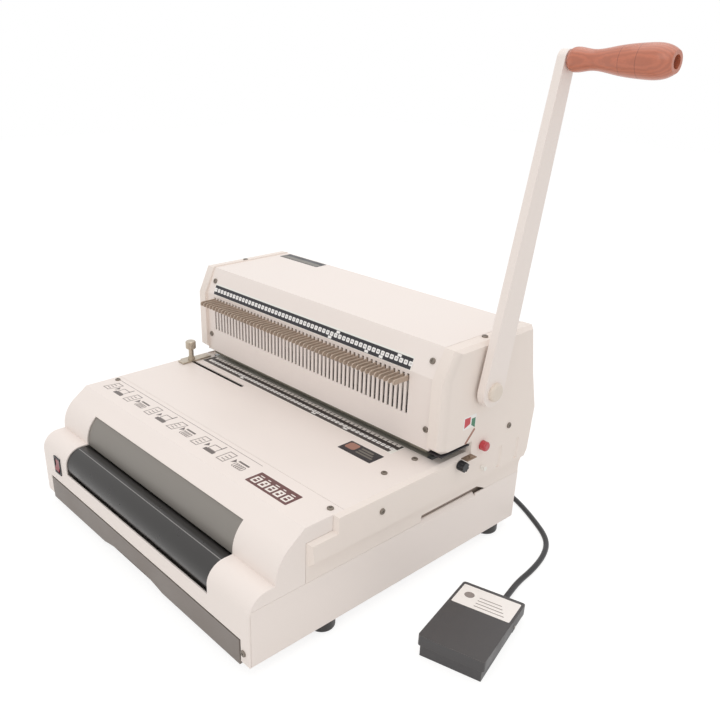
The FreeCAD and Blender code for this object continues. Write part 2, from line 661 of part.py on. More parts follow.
def power_inlet():
    """Mains inlet with a flange and three blades in its well."""
    flange = box(
        INLET_X - INLET_WIDTH / 2 - INLET_FLANGE, INLET_X + INLET_WIDTH / 2 + INLET_FLANGE, BACK_Y, BACK_Y + 2,
        INLET_Z - INLET_HEIGHT / 2 - INLET_FLANGE, INLET_Z + INLET_HEIGHT / 2 + INLET_FLANGE)
    gap = 0.2
    body = box(
        INLET_X - INLET_WIDTH / 2 + gap, INLET_X + INLET_WIDTH / 2 - gap, BACK_Y - 22, BACK_Y,
        INLET_Z - INLET_HEIGHT / 2 + gap, INLET_Z + INLET_HEIGHT / 2 - gap)
    well = box(
        INLET_X - INLET_WIDTH / 2 + 2, INLET_X + INLET_WIDTH / 2 - 2, BACK_Y - 14, BACK_Y + 3,
        INLET_Z - INLET_HEIGHT / 2 + 2, INLET_Z + INLET_HEIGHT / 2 - 2)
    blades = [
        box(INLET_X + offset - 1, INLET_X + offset + 1, BACK_Y - 15, BACK_Y - 3, INLET_Z + rise - 2, INLET_Z + rise + 2)
        for offset, rise in ((-7, -1.5), (0, 2.5), (7, -1.5))]
    return joined([joined([flange, body]).cut(well)] + blades)


def pedal_jack():
    """Round socket for the pedal's plug, with its ring nut outside."""
    nut = rod_y(JACK_X, BACK_Y, BACK_Y + JACK_NUT, JACK_Z, JACK_RADIUS + 3)
    barrel = rod_y(JACK_X, BACK_Y - 18, BACK_Y, JACK_Z, JACK_RADIUS)
    bore = rod_y(JACK_X, BACK_Y - 15, BACK_Y + 5, JACK_Z, PLUG_PIN_RADIUS + 0.2)
    return joined([nut, barrel]).cut(bore)


def control_board():
    """Circuit board on four pillars with the parts that run the roller motor."""
    z = DECK_TOP + 6
    board = box(20, 150, -70, 20, z, z + 1.6)
    pillars = [rod_z(x, y, DECK_TOP, z, 3) for x in (28, 142) for y in (-62, 12)]
    transformer = box(30, 75, -55, -10, z + 1.6, z + 34)
    relay = box(90, 118, -50, -34, z + 1.6, z + 17)
    capacitors = [rod_z(92 + 14 * index, -12, z + 1.6, z + 20, 5) for index in range(3)]
    return joined([board, transformer, relay] + pillars + capacitors)


# Side frames and the fixed punching parts

def side_frame():
    """Right-hand steel plate, open at the front for the paper."""
    outline = [
        (FRAME_FRONT, DECK_TOP), (FRAME_BACK, DECK_TOP), (FRAME_BACK, FRAME_TOP),
        (FRAME_FRONT + 10, FRAME_TOP), (FRAME_FRONT, FRAME_NECK_Z), (FRAME_FRONT, TOWER_BOTTOM),
        (THROAT_END_Y, TOWER_BOTTOM), (THROAT_END_Y, DIE_TOP), (FRAME_FRONT, DIE_TOP)]
    plate = prism_x(outline, FRAME_INNER, FRAME_OUTER)
    return plate.cut(rod_x(FRAME_INNER - 1, FRAME_OUTER + 1, PIVOT_Y, PIVOT_Z, BUSH_RADIUS + RUN_GAP))


def right_side_frame():
    """Side plate at the handle end."""
    return side_frame()


def left_side_frame():
    """Side plate at the far end."""
    return mirrored(side_frame())


def punch_bores(z0, z1, radius):
    """Round cutters in line with the punches."""
    return [rod_z(x, DIE_LINE_Y, z0, z1, radius) for x in pin_places()]


def die_block():
    """Hardened bar with one hole under each punch."""
    block = box(-FRAME_INNER, FRAME_INNER, DIE_FRONT, DIE_BACK, DIE_TOP - DIE_THICK, DIE_TOP)
    return without(block, punch_bores(DIE_TOP - DIE_THICK - 1, DIE_TOP + 1, PIN_RADIUS + RUN_GAP))


def stripper_bar():
    """Bar above the paper that guides the punches and strips the paper off them."""
    bar = box(-FRAME_INNER, FRAME_INNER, DIE_FRONT, DIE_BACK, STRIPPER_BOTTOM, STRIPPER_TOP)
    return without(bar, punch_bores(STRIPPER_BOTTOM - 1, STRIPPER_TOP + 1, PIN_RADIUS + RUN_GAP))


def ram_guides():
    """Four upright guide bars, in front of and behind the ram's ends."""
    low = SLOT_BOTTOM + 4
    front = box(
        FRAME_INNER - GIB_WIDTH, FRAME_INNER, RAM_FRONT - TOUCH_GAP - GIB_DEPTH, RAM_FRONT - TOUCH_GAP, low, TOWER_BEND_Z - 1)
    back = box(
        FRAME_INNER - GIB_WIDTH, FRAME_INNER, RAM_BACK + TOUCH_GAP, RAM_BACK + TOUCH_GAP + GIB_WIDTH, low, RAM_TOP + 3)
    return group([front, back, mirrored(front), mirrored(back)])


def plain_bushes():
    """Bronze bushes: two for the drive shaft and two for the trough roller."""
    big = rod_x(FRAME_INNER - 2, FRAME_OUTER + 0.5, PIVOT_Y, PIVOT_Z, BUSH_RADIUS)
    big = big.cut(rod_x(FRAME_INNER - 3, FRAME_OUTER + 1, PIVOT_Y, PIVOT_Z, SHAFT_RADIUS + RUN_GAP))
    left_x = TROUGH_LEFT - CHEEK_OFFSET
    right_x = TROUGH_RIGHT + CHEEK_OFFSET
    small = []
    for x0, x1 in ((left_x - 3, left_x), (right_x, right_x + 3)):
        tube = rod_x(x0, x1, ROLLER_Y, ROLLER_Z, ROLLER_SHAFT_RADIUS + ROLLER_BUSH_WALL - RUN_GAP)
        small.append(tube.cut(rod_x(x0 - 1, x1 + 1, ROLLER_Y, ROLLER_Z, ROLLER_SHAFT_RADIUS + RUN_GAP)))
    return group([big, mirrored(big)] + small)


# Drive shaft, handle and ram

def pinion_ring():
    """Outline of a spur pinion about the shaft axis, with a tooth space facing the rack."""
    pressure = math.radians(PRESSURE_DEG)
    base = PITCH_RADIUS * math.cos(pressure)
    tip = PITCH_RADIUS + GEAR_MODULE
    root = PITCH_RADIUS - 1.25 * GEAR_MODULE
    half_pitch = math.pi / (2 * PINION_TEETH) - BACKLASH / (4 * PITCH_RADIUS)
    base_half = half_pitch + math.tan(pressure) - pressure
    steps = 5
    flank = [(root, base_half)]
    for index in range(steps):
        radius = base + (tip - base) * index / (steps - 1)
        angle = math.acos(min(1.0, base / radius))
        flank.append((radius, base_half - math.tan(angle) + angle))
    ring = []
    for tooth in range(PINION_TEETH):
        centre = 2 * math.pi * (tooth + 0.5) / PINION_TEETH + math.pi
        side = [(radius, centre - half) for radius, half in flank]
        side += [(radius, centre + half) for radius, half in reversed(flank)]
        ring += [(PIVOT_Y + r * math.cos(a), PIVOT_Z + r * math.sin(a)) for r, a in side]
    return ring


def drive_pinions():
    """Two pinions on the drive shaft that push the racks."""
    ring = pinion_ring()
    pinions = []
    for x in (-PINION_X, PINION_X):
        blank = prism_x(ring, x - GEAR_WIDTH / 2, x + GEAR_WIDTH / 2)
        bore = rod_x(x - GEAR_WIDTH, x + GEAR_WIDTH, PIVOT_Y, PIVOT_Z, SHAFT_RADIUS)
        pinions.append(blank.cut(bore))
    return group(pinions)


def drive_racks():
    """Two upright racks on the back of the ram."""
    pitch = math.pi * GEAR_MODULE
    slope = math.tan(math.radians(PRESSURE_DEG))
    half = pitch / 4 - BACKLASH / 4
    tip_y = RACK_PITCH_Y + GEAR_MODULE
    root_y = RACK_PITCH_Y - 1.25 * GEAR_MODULE
    half_tip = half - GEAR_MODULE * slope
    half_root = half + 1.25 * GEAR_MODULE * slope
    low = round(RACK_TEETH_BELOW)
    high = round(RACK_TEETH_ABOVE)
    points = [(RAM_BACK, PIVOT_Z - pitch * (low + 0.5)), (root_y, PIVOT_Z - pitch * (low + 0.5))]
    for index in range(-low, high + 1):
        z = PIVOT_Z + pitch * index
        points += [(root_y, z - half_root), (tip_y, z - half_tip), (tip_y, z + half_tip), (root_y, z + half_root)]
    points += [(root_y, PIVOT_Z + pitch * (high + 0.5)), (RAM_BACK, PIVOT_Z + pitch * (high + 0.5))]
    return group([prism_x(points, x - GEAR_WIDTH / 2, x + GEAR_WIDTH / 2) for x in (-PINION_X, PINION_X)])


def drive_shaft():
    """Cross shaft with a squared end for the handle and a tapped end hole."""
    shaft = rod_x(-FRAME_OUTER - 3, LEVER_INNER_X, PIVOT_Y, PIVOT_Z, SHAFT_RADIUS)
    half = SQUARE_SIDE / 2
    square = box(LEVER_INNER_X, LEVER_OUTER_X, PIVOT_Y - half, PIVOT_Y + half, PIVOT_Z - half, PIVOT_Z + half)
    hole = rod_x(LEVER_OUTER_X - 18, LEVER_OUTER_X + 1, PIVOT_Y, PIVOT_Z, LEVER_BOLT_SHANK + RUN_GAP)
    return joined([shaft, square]).cut(hole)


def handle_lever():
    """Flat steel bar with rounded ends, squared on the shaft."""
    dy = GRIP_Y - PIVOT_Y
    dz = GRIP_Z - PIVOT_Z
    length = math.hypot(dy, dz)
    along = math.atan2(dz, dy)
    open_angle = math.acos((LEVER_END_RADIUS - LEVER_TIP_RADIUS) / length)
    ring = []
    for side in (1, -1):
        angle = along + side * open_angle
        root = (PIVOT_Y + LEVER_END_RADIUS * math.cos(angle), PIVOT_Z + LEVER_END_RADIUS * math.sin(angle))
        tip = (GRIP_Y + LEVER_TIP_RADIUS * math.cos(angle), GRIP_Z + LEVER_TIP_RADIUS * math.sin(angle))
        ring += [root, tip] if side == 1 else [tip, root]
    bar = joined([
        prism_x(ring, LEVER_INNER_X, LEVER_OUTER_X),
        rod_x(LEVER_INNER_X, LEVER_OUTER_X, PIVOT_Y, PIVOT_Z, LEVER_END_RADIUS),
        rod_x(LEVER_INNER_X, LEVER_OUTER_X, GRIP_Y, GRIP_Z, LEVER_TIP_RADIUS)])
    half = SQUARE_SIDE / 2
    square = box(
        LEVER_INNER_X - 1, LEVER_OUTER_X + 1, PIVOT_Y - half, PIVOT_Y + half, PIVOT_Z - half, PIVOT_Z + half)
    hole = rod_x(LEVER_INNER_X - 1, LEVER_OUTER_X + 1, GRIP_Y, GRIP_Z, GRIP_BOLT_RADIUS + RUN_GAP)
    return without(bar, [square, hole])


def lever_bolt():
    """Domed bolt that holds the handle on the shaft."""
    head = rod_x(LEVER_OUTER_X, LEVER_OUTER_X + LEVER_BOLT_HEIGHT, PIVOT_Y, PIVOT_Z, LEVER_BOLT_HEAD)
    rim = [edge for edge in head.Edges if len(edge.Vertexes) == 1 and edge.CenterOfMass.x > LEVER_OUTER_X + 1]
    head = head.makeFillet(LEVER_BOLT_HEIGHT * 0.6, rim)
    shank = rod_x(LEVER_OUTER_X - 16, LEVER_OUTER_X, PIVOT_Y, PIVOT_Z, LEVER_BOLT_SHANK)
    return joined([head, shank])


def grip_bolt():
    """Long bolt that the wooden grip turns on, its head sunk in the grip's end."""
    end = LEVER_OUTER_X + TOUCH_GAP + GRIP_LENGTH - GRIP_RECESS
    shank = rod_x(LEVER_INNER_X - 2, end, GRIP_Y, GRIP_Z, GRIP_BOLT_RADIUS)
    head = rod_x(end, end + 2.5, GRIP_Y, GRIP_Z, GRIP_RECESS_RADIUS - 0.6)
    socket = rod_x(end + 1, end + 3, GRIP_Y, GRIP_Z, 2)
    return joined([shank, head]).cut(socket)


def wooden_grip():
    """Turned wooden grip with a knob at the lever and a long swell."""
    x0 = LEVER_OUTER_X + TOUCH_GAP
    x1 = x0 + GRIP_LENGTH
    profile = [
        V(x0, 0, GRIP_ROOT_RADIUS), V(x0 + 2.5, 0, 9.4), V(x0 + 8, 0, 10.1), V(x0 + 20, 0, 8.5),
        V(x0 + 43, 0, 11.2), V(x0 + 68, 0, 13.7), V(x1 - 7, 0, 12.4), V(x1, 0, GRIP_END_RADIUS)]
    curve = Part.BSplineCurve()
    curve.interpolate(profile)
    bottom = [V(x1, 0, GRIP_END_RADIUS), V(x1, 0, 0), V(x0, 0, 0), V(x0, 0, GRIP_ROOT_RADIUS)]
    lines = [Part.LineSegment(a, b).toShape() for a, b in zip(bottom[:-1], bottom[1:])]
    face = Part.Face(Part.Wire([curve.toShape()] + lines))
    body = face.revolve(V(0, 0, 0), X_AXIS, 360)
    body.translate(V(0, GRIP_Y, GRIP_Z))
    bore = rod_x(x0 - 1, x1, GRIP_Y, GRIP_Z, GRIP_BOLT_RADIUS + RUN_GAP)
    recess = rod_x(x1 - GRIP_RECESS - TOUCH_GAP, x1 + 1, GRIP_Y, GRIP_Z, GRIP_RECESS_RADIUS)
    return without(body, [bore, recess])


def ram_beam():
    """Cross beam that the racks pull down, with a rear lip for the punch holder and two spring ears."""
    reach = FRAME_INNER - RAM_END_GAP
    beam = box(-reach, reach, RAM_FRONT, RAM_BACK, RAM_BOTTOM, RAM_TOP)
    lip = box(-HOLDER_REACH, HOLDER_REACH, TAB_TAIL_Y + 2, RAM_BACK, HOLDER_TOP, RAM_BOTTOM)
    ears = [
        box(x - SPRING_EAR_HALF, x + SPRING_EAR_HALF, RAM_BACK, SPRING_Y + SPRING_EAR_HALF, RAM_BOTTOM, RAM_TOP)
        for x in (-SPRING_X, SPRING_X)]
    return joined([beam, lip] + ears)


def punch_holder():
    """Bar that carries the punches by their heads."""
    bar = box(-HOLDER_REACH, HOLDER_REACH, RAM_FRONT, RAM_BACK, HOLDER_BOTTOM, HOLDER_TOP)
    bores = punch_bores(HOLDER_BOTTOM - 1, HOLDER_TOP, PIN_RADIUS + RUN_GAP)
    seats = punch_bores(HOLDER_TOP - PIN_HEAD_HEIGHT, HOLDER_TOP + 1, PIN_HEAD + RUN_GAP)
    return without(without(bar, bores), seats)


def punch_pins():
    """One headed round punch for each hole."""
    pins = []
    for x in pin_places():
        pin = rod_z(x, DIE_LINE_Y, PIN_TIP_Z, HOLDER_TOP, PIN_RADIUS)
        head = rod_z(x, DIE_LINE_Y, HOLDER_TOP - PIN_HEAD_HEIGHT, HOLDER_TOP, PIN_HEAD)
        pins.append(joined([pin, head]))
    return group(pins)


def pull_tab(x):
    """Flat tab that blocks one punch under the beam, with a round finger end."""
    radius = TAB_HEIGHT / 2
    half = TAB_THICK / 2
    middle = TAB_LOW + radius
    blade = box(x - half, x + half, TAB_TIP_Y + radius, TAB_TAIL_Y, TAB_LOW, TAB_LOW + TAB_HEIGHT)
    end = rod_x(x - half, x + half, TAB_TIP_Y + radius, middle, radius)
    return joined([blade, end])


def first_pull_tab():
    """Tab of the punch at the left end."""
    return pull_tab(pin_places()[0])


def last_pull_tab():
    """Tab of the punch at the right end."""
    return pull_tab(pin_places()[-1])


def middle_pull_tabs():
    """Tabs of all punches between the two ends."""
    return group([pull_tab(x) for x in pin_places()[1:-1]])


def return_springs():
    """Two compression springs that lift the ram."""
    low = STRIPPER_TOP + SPRING_WIRE
    height = RAM_BOTTOM - STRIPPER_TOP - 2 * SPRING_WIRE
    springs = []
    for x in (-SPRING_X, SPRING_X):
        helix = Part.makeHelix(height / SPRING_TURNS, height, SPRING_RADIUS)
        section = Part.Wire([Part.makeCircle(SPRING_WIRE, V(SPRING_RADIUS, 0, 0), Y_AXIS)])
        spring = Part.Wire(helix.Edges).makePipeShell([section], True, True)
        spring.translate(V(x, SPRING_Y, low))
        springs.append(spring)
    return group(springs)


# Tower covers

def tower_shell():
    """Bent sheet over the tower's front, sloped scale face and top, slotted for the tabs."""
    back = TOWER_TOP_BACK
    outer = [
        (TOWER_FRONT, TOWER_BOTTOM), (TOWER_FRONT, TOWER_BEND_Z), (TOWER_TOP_FRONT, TOWER_TOP), (back, TOWER_TOP)]
    angle = math.atan2(TOWER_TOP - TOWER_BEND_Z, TOWER_TOP_FRONT - TOWER_FRONT)
    lean = math.pi / 2 - angle
    first = SHEET * math.tan(lean / 2)
    second = SHEET * math.tan(angle / 2)
    inner = [
        (back, TOWER_TOP - SHEET), (TOWER_TOP_FRONT + second, TOWER_TOP - SHEET),
        (TOWER_FRONT + SHEET, TOWER_BEND_Z - first), (TOWER_FRONT + SHEET, TOWER_BOTTOM)]
    skin = prism_x(outer + inner, -SHELL_HALF, SHELL_HALF)
    lip = box(-SHELL_HALF, SHELL_HALF, TOWER_FRONT, DIE_FRONT - SEAM_GAP, TOWER_BOTTOM, TOWER_BOTTOM + SHEET)
    slots = [
        box(x - SLOT_WIDTH / 2, x + SLOT_WIDTH / 2, TOWER_FRONT - 1, TOWER_FRONT + SHEET + 1, SLOT_BOTTOM, SLOT_TOP)
        for x in pin_places()]
    return without(joined([skin, lip]), slots + screw_holes())


def rear_panel():
    """Bent sheet that closes the back from the pan to the tower's top."""
    low = PAN_HEIGHT + SEAM_GAP
    high = TOWER_TOP - SHEET - SEAM_GAP
    face = BACK_Y - 1
    outline = [
        (face, low), (face, REAR_BEND_Z), (TOWER_TOP_BACK, high),
        (TOWER_TOP_BACK - SHEET, high), (face - SHEET, REAR_BEND_Z), (face - SHEET, low)]
    return prism_x(outline, -SHELL_HALF, SHELL_HALF)


def offset_outline(points):
    """Corners of a polygon after each edge moves inwards by its own distance.

    Each point is (y, z, distance of the edge that starts there), anticlockwise.
    """
    lines = []
    count = len(points)
    for index in range(count):
        y0, z0, distance = points[index]
        y1, z1, _ = points[(index + 1) % count]
        length = math.hypot(y1 - y0, z1 - z0)
        normal = ((z0 - z1) / length, (y1 - y0) / length)
        lines.append((normal, normal[0] * y0 + normal[1] * z0 + distance))
    result = []
    for index in range(count):
        (a, b), c = lines[index - 1]
        (d, e), f = lines[index]
        det = a * e - b * d
        result.append(((c * e - b * f) / det, (a * f - c * d) / det))
    return result


def frustum_x(low, x0, high, x1):
    """Solid between two outlines with matching corners in two planes across X."""
    first = [V(x0, y, z) for y, z in low]
    last = [V(x1, y, z) for y, z in high]
    faces = [Part.Face(Part.makePolygon(ring + ring[:1])) for ring in (first, last)]
    count = len(first)
    for index in range(count):
        after = (index + 1) % count
        faces.append(Part.Face(Part.makePolygon([
            first[index], first[after], last[after], last[index], first[index]])))
    return Part.Solid(Part.Shell(faces))


def rear_edge():
    """Side outline of the back of a side cover, from low to high, with its bevel."""
    return [
        (BACK_Y + 8, PLATE_TOP - 32, 4), (BACK_Y + 10, PLATE_TOP - 5, 4), (BACK_Y + 12, PLATE_TOP + 20, 4),
        (BACK_Y, PLATE_TOP + 62, 4),
        (TOWER_TOP_BACK + 1, TOWER_TOP, 3.5)]


def tower_edge():
    """Side outline of the front of a side cover's tower part, from the top down, with its bevel."""
    return [
        (TOWER_TOP_FRONT - 2, TOWER_TOP, 8), (COVER_FRONT_Y, TOWER_BEND_Z - 1, 10),
        (COVER_FRONT_Y, TOWER_BOTTOM + 6, 5), (COVER_FRONT_Y + 8, TOWER_BOTTOM, 2.5),
        (THROAT_END_Y, TOWER_BOTTOM, 2.5)]


def side_cover():
    """Moulded right-hand cover: a rim, a raised bevelled panel and a hand grip in its lower edge."""
    low = PAN_HEIGHT + SEAM_GAP
    cheek_y = FRONT_Y + CHEEK_DEPTH + COVER_SEAM
    tongue_y = FRONT_Y + TONGUE_DEPTH + COVER_SEAM
    tongue_z = PLATE_TOP - TONGUE_HEIGHT - COVER_SEAM
    ledge = PLATE_TOP - SHEET - SEAM_GAP
    rim = [
        (cheek_y, low, 0), (GRIP_FRONT_Y, low, 0), (GRIP_FRONT_Y, GRIP_TOP, 0), (GRIP_BACK_Y, GRIP_TOP, 0),
        (GRIP_BACK_Y + GRIP_RAMP, low, 0), (BACK_Y - 1, low, 0), (BACK_Y - 1, PAN_HEIGHT + 11, 0)]
    rim += rear_edge() + tower_edge()
    rim += [(THROAT_END_Y, ledge, 0), (tongue_y, ledge, 0), (tongue_y, tongue_z, 0), (cheek_y, tongue_z, 0)]
    panel = [(cheek_y + 3, PANEL_LOW, 4), (BACK_Y + 2.4, PANEL_LOW, 4)]
    panel += rear_edge() + tower_edge()
    panel += [(THROAT_END_Y, PLATE_TOP, 3), (tongue_y, PLATE_TOP, 3)]
    panel += [(tongue_y, tongue_z, 3), (cheek_y + COVER_SEAM, tongue_z, 3)]
    rim_outline = [(y, z) for y, z, _ in rim]
    panel_outline = [(y, z) for y, z, _ in panel]
    face_outline = offset_outline(panel)
    rim_solid = prism_x(rim_outline, COVER_INNER, HALF_WIDTH)
    panel_solid = frustum_x(panel_outline, HALF_WIDTH, face_outline, PANEL_FACE_X)
    rim_inside = offset_outline([(y, z, COVER_WALL) for y, z, _ in rim])
    face_inside = offset_outline([(y, z, COVER_WALL) for y, z in face_outline])
    hollow = joined([
        prism_x(rim_inside, COVER_INNER - 1, HALF_WIDTH - COVER_WALL),
        prism_x(face_inside, COVER_INNER - 1, PANEL_FACE_X - COVER_WALL)])
    scoops = [
        rod_z(PANEL_FACE_X + 3, BACK_Y - back, PLATE_TOP - 35, PLATE_TOP - 10, SCOOP_RADIUS)
        for back in (47.5, 17)]
    return without(joined([rim_solid, panel_solid]).cut(hollow), scoops + screw_holes())


def right_side_cover():
    """Cover at the handle end, with holes for the shaft and the two knobs."""
    outer = PANEL_FACE_X + 1
    holes = [
        rod_x(COVER_INNER - 1, outer, PIVOT_Y, PIVOT_Z, SHAFT_RADIUS + 1),
        rod_x(COVER_INNER - 1, outer, MARGIN_KNOB_Y, MARGIN_KNOB_Z, KNOB_STEM + 0.1),
        rod_x(COVER_INNER - 1, outer, LOCK_KNOB_Y, LOCK_KNOB_Z, KNOB_STEM + 0.1)]
    return without(side_cover(), holes)


def left_side_cover():
    """Cover at the far end."""
    room = EDGE_FOOT_HALF + 2
    foot_room = box(
        -HALF_WIDTH - 1, -COVER_INNER + 1, EDGE_SLOT_Y - room, EDGE_SLOT_Y + room,
        PLATE_TOP - 2 * SHEET - EDGE_FOOT_THICK - STRIP_LIFT, PLATE_TOP - SHEET)
    return without(mirrored(side_cover()), [foot_room])


# Small pieces on the tower's right side

def margin_plate():
    """Small angle of sheet under the end of the paper slot, its flat leaf standing out."""
    x = PANEL_FACE_X
    front = MARGIN_PLATE_FRONT
    back = MARGIN_PLATE_BACK
    top = MARGIN_PLATE_TOP
    wall_front = MARGIN_KNOB_Y + MARGIN_KNOB_RADIUS + 1
    wall = box(x, x + MARGIN_PLATE_THICK, wall_front, back, top - 3 * MARGIN_PLATE_THICK, top)
    leaf = box(x, x + MARGIN_PLATE_OUT, front, back, top - MARGIN_PLATE_THICK, top)
    screw_y = (front + back) / 2 + 3
    screw = rod_z(x + MARGIN_PLATE_OUT / 2, screw_y, top - 0.5, top + 1.2, MARGIN_SCREW_RADIUS)
    return joined([wall, leaf, screw])


def white_post():
    """Round white post beside the knobs."""
    return rod_x(PANEL_FACE_X, PANEL_FACE_X + 5, LOCK_KNOB_Y + 4.2, PLATE_TOP - 25, 2.5)


def margin_knob():
    """Black knob on a stem that sets the depth of the holes' margin."""
    x = PANEL_FACE_X + TOUCH_GAP
    stem = rod_x(FRAME_OUTER + 3, x, MARGIN_KNOB_Y, MARGIN_KNOB_Z, KNOB_STEM)
    head = rod_x(x, x + 8, MARGIN_KNOB_Y, MARGIN_KNOB_Z, MARGIN_KNOB_RADIUS)
    notch_ring = MARGIN_KNOB_RADIUS + 0.6
    notch_count = 8
    notches = []
    for index in range(notch_count):
        angle = 2 * math.pi * index / notch_count
        y = MARGIN_KNOB_Y + notch_ring * math.cos(angle)
        z = MARGIN_KNOB_Z + notch_ring * math.sin(angle)
        notches.append(rod_x(x + 1.5, x + 9, y, z, 1.4))
    return joined([stem, head.cut(Part.makeCompound(notches))])


def lock_knob():
    """Red pull knob of the lock plunger."""
    x = PANEL_FACE_X + TOUCH_GAP
    stem = rod_x(FRAME_OUTER + 3, x, LOCK_KNOB_Y, LOCK_KNOB_Z, KNOB_STEM)
    head = rod_x(x, x + 7, LOCK_KNOB_Y, LOCK_KNOB_Z, LOCK_KNOB_RADIUS)
    rim = [edge for edge in head.Edges if len(edge.Vertexes) == 1 and edge.CenterOfMass.x > x + 1]
    return joined([stem, head.makeFillet(2, rim)])


def depth_stop():
    """Bar in the paper slot that the sheets are pushed against."""
    low = DIE_TOP + (THROAT_GAP - STOP_THICK) / 2
    left = RAM_END_GAP - FRAME_INNER
    right = FRAME_OUTER + STOP_OVERHANG
    return box(left, right, STOP_FRONT, STOP_FRONT + STOP_DEPTH, low, low + STOP_THICK)


def plate_ruler():
    """Ruler strip on the work plate."""
    back = PLATE_RULER_FRONT + PLATE_RULER_WIDTH
    return box(PLATE_RULER_LEFT, PLATE_RULER_RIGHT, PLATE_RULER_FRONT, back, PLATE_TOP, PLATE_TOP + RULER_THICK)


def tower_ruler():
    """Ruler strip on the sloped face of the tower."""
    rise = TOWER_TOP - TOWER_BEND_Z
    run = TOWER_TOP_FRONT - TOWER_FRONT
    length = math.hypot(rise, run)
    along = V(0, run / length, rise / length)
    out = V(0, -rise / length, run / length)
    corner = V(TOWER_RULER_LEFT, TOWER_FRONT, TOWER_BEND_Z) + along * TOWER_RULER_RAISE
    across = V(TOWER_RULER_RIGHT - TOWER_RULER_LEFT, 0, 0)
    up = along * TOWER_RULER_WIDTH
    ring = [corner, corner + across, corner + across + up, corner + up, corner]
    return Part.Face(Part.makePolygon(ring)).extrude(out * RULER_THICK)


# Edge guide

def edge_guide():
    """Paper edge guide: a strip on the plate with a foot through the slot."""
    low = PLATE_TOP + STRIP_LIFT
    high = low + STRIP_THICK
    foot_top = PLATE_TOP - SHEET - STRIP_LIFT
    foot_low = foot_top - EDGE_FOOT_THICK
    x = EDGE_GUIDE_X
    y = EDGE_SLOT_Y
    half_slot = EDGE_SLOT_HALF - 0.4
    strip = box(x - 6, x + 6, y - 16.5, DIE_FRONT - 7, low, high)
    wing = box(x - 9.5, x - 6, y - 10.5, y + 9.5, low, high)
    tongue = box(x - EDGE_TONGUE_HALF, x + EDGE_TONGUE_HALF, y - half_slot, y + half_slot, foot_top, low)
    foot = box(x - EDGE_FOOT_HALF, x + EDGE_FOOT_HALF, y - EDGE_FOOT_HALF, y + EDGE_FOOT_HALF, foot_low, foot_top)
    hole = rod_z(x, y, foot_low - 1, high + 1, 1.5 + RUN_GAP)
    return joined([strip, wing, tongue, foot]).cut(hole)


def guide_thumb_screw():
    """Tall thumb screw that clamps the edge guide."""
    x = EDGE_GUIDE_X
    y = EDGE_SLOT_Y
    seat = PLATE_TOP + STRIP_LIFT + STRIP_THICK + RUN_GAP
    neck_top = seat + 14.5
    head_radius = 6.5
    groove_count = 16
    stem = rod_z(x, y, seat - 5, seat, 1.5)
    collar = rod_z(x, y, seat, seat + 3, 4.5)
    neck = rod_z(x, y, seat + 3, neck_top, 3.2)
    head = rod_z(x, y, neck_top, neck_top + 10, head_radius)
    rims = [edge for edge in head.Edges if len(edge.Vertexes) == 1]
    head = head.makeChamfer(0.9, rims)
    grooves = []
    for index in range(groove_count):
        angle = 2 * math.pi * index / groove_count
        groove_x = x + (head_radius + 0.5) * math.cos(angle)
        groove_y = y + (head_radius + 0.5) * math.sin(angle)
        grooves.append(rod_z(groove_x, groove_y, neck_top - 0.5, neck_top + 10.5, 0.8))
    return joined([stem, collar, neck, head.cut(Part.makeCompound(grooves))])


# Power switch

def switch_frame():
    """Bezel and body of the power switch."""
    flange = box(
        SWITCH_X - SWITCH_WIDTH / 2 - SWITCH_RIM, SWITCH_X + SWITCH_WIDTH / 2 + SWITCH_RIM, FRONT_Y - 1.2, FRONT_Y,
        SWITCH_Z - SWITCH_HEIGHT / 2 - SWITCH_RIM, SWITCH_Z + SWITCH_HEIGHT / 2 + SWITCH_RIM)
    body = box(
        SWITCH_X - SWITCH_WIDTH / 2 + 0.1, SWITCH_X + SWITCH_WIDTH / 2 - 0.1, FRONT_Y, FRONT_Y + SWITCH_DEPTH,
        SWITCH_Z - SWITCH_HEIGHT / 2 + 0.1, SWITCH_Z + SWITCH_HEIGHT / 2 - 0.1)
    reach = ROCKER_RADIUS + 0.4
    well = box(
        SWITCH_X - ROCKER_WIDTH / 2 - 0.3, SWITCH_X + ROCKER_WIDTH / 2 + 0.3, FRONT_Y - 2, FRONT_Y + SWITCH_WELL_DEPTH,
        SWITCH_Z - reach, SWITCH_Z + reach)
    return joined([flange, body]).cut(well)


def switch_rocker():
    """Red rocker with its upper half pressed in."""
    y = FRONT_Y + ROCKER_SINK
    z = SWITCH_Z
    drop = ROCKER_RADIUS * math.tan(math.radians(ROCKER_SWING_DEG))
    face = y - ROCKER_SINK - ROCKER_PROUD
    over = ROCKER_RADIUS + 1
    back = y + ROCKER_RADIUS - SWITCH_RIM
    outline = [
        (face, z + over), (face, z), (face - drop, z - ROCKER_RADIUS),
        (face - drop, z - over), (back, z - over), (back, z + over)]
    x0 = SWITCH_X - ROCKER_WIDTH / 2
    x1 = SWITCH_X + ROCKER_WIDTH / 2
    return rod_x(x0, x1, y, z, ROCKER_RADIUS).common(prism_x(outline, x0, x1))


# Roller drive

def inserter_roller():
    """Long rubber roller that spins the coil through the holes."""
    x0 = TROUGH_LEFT - CHEEK_OFFSET + ROLLER_END_GAP
    x1 = TROUGH_RIGHT + CHEEK_OFFSET - ROLLER_END_GAP
    sleeve = rod_x(x0, x1, ROLLER_Y, ROLLER_Z, ROLLER_RADIUS)
    return sleeve.cut(rod_x(x0 - 1, x1 + 1, ROLLER_Y, ROLLER_Z, ROLLER_SHAFT_RADIUS))


def roller_shaft():
    """Steel shaft of the roller, long enough for its pulley."""
    return rod_x(PULLEY_X - 4, TROUGH_RIGHT + CHEEK_OFFSET + 4, ROLLER_Y, ROLLER_Z, ROLLER_SHAFT_RADIUS)


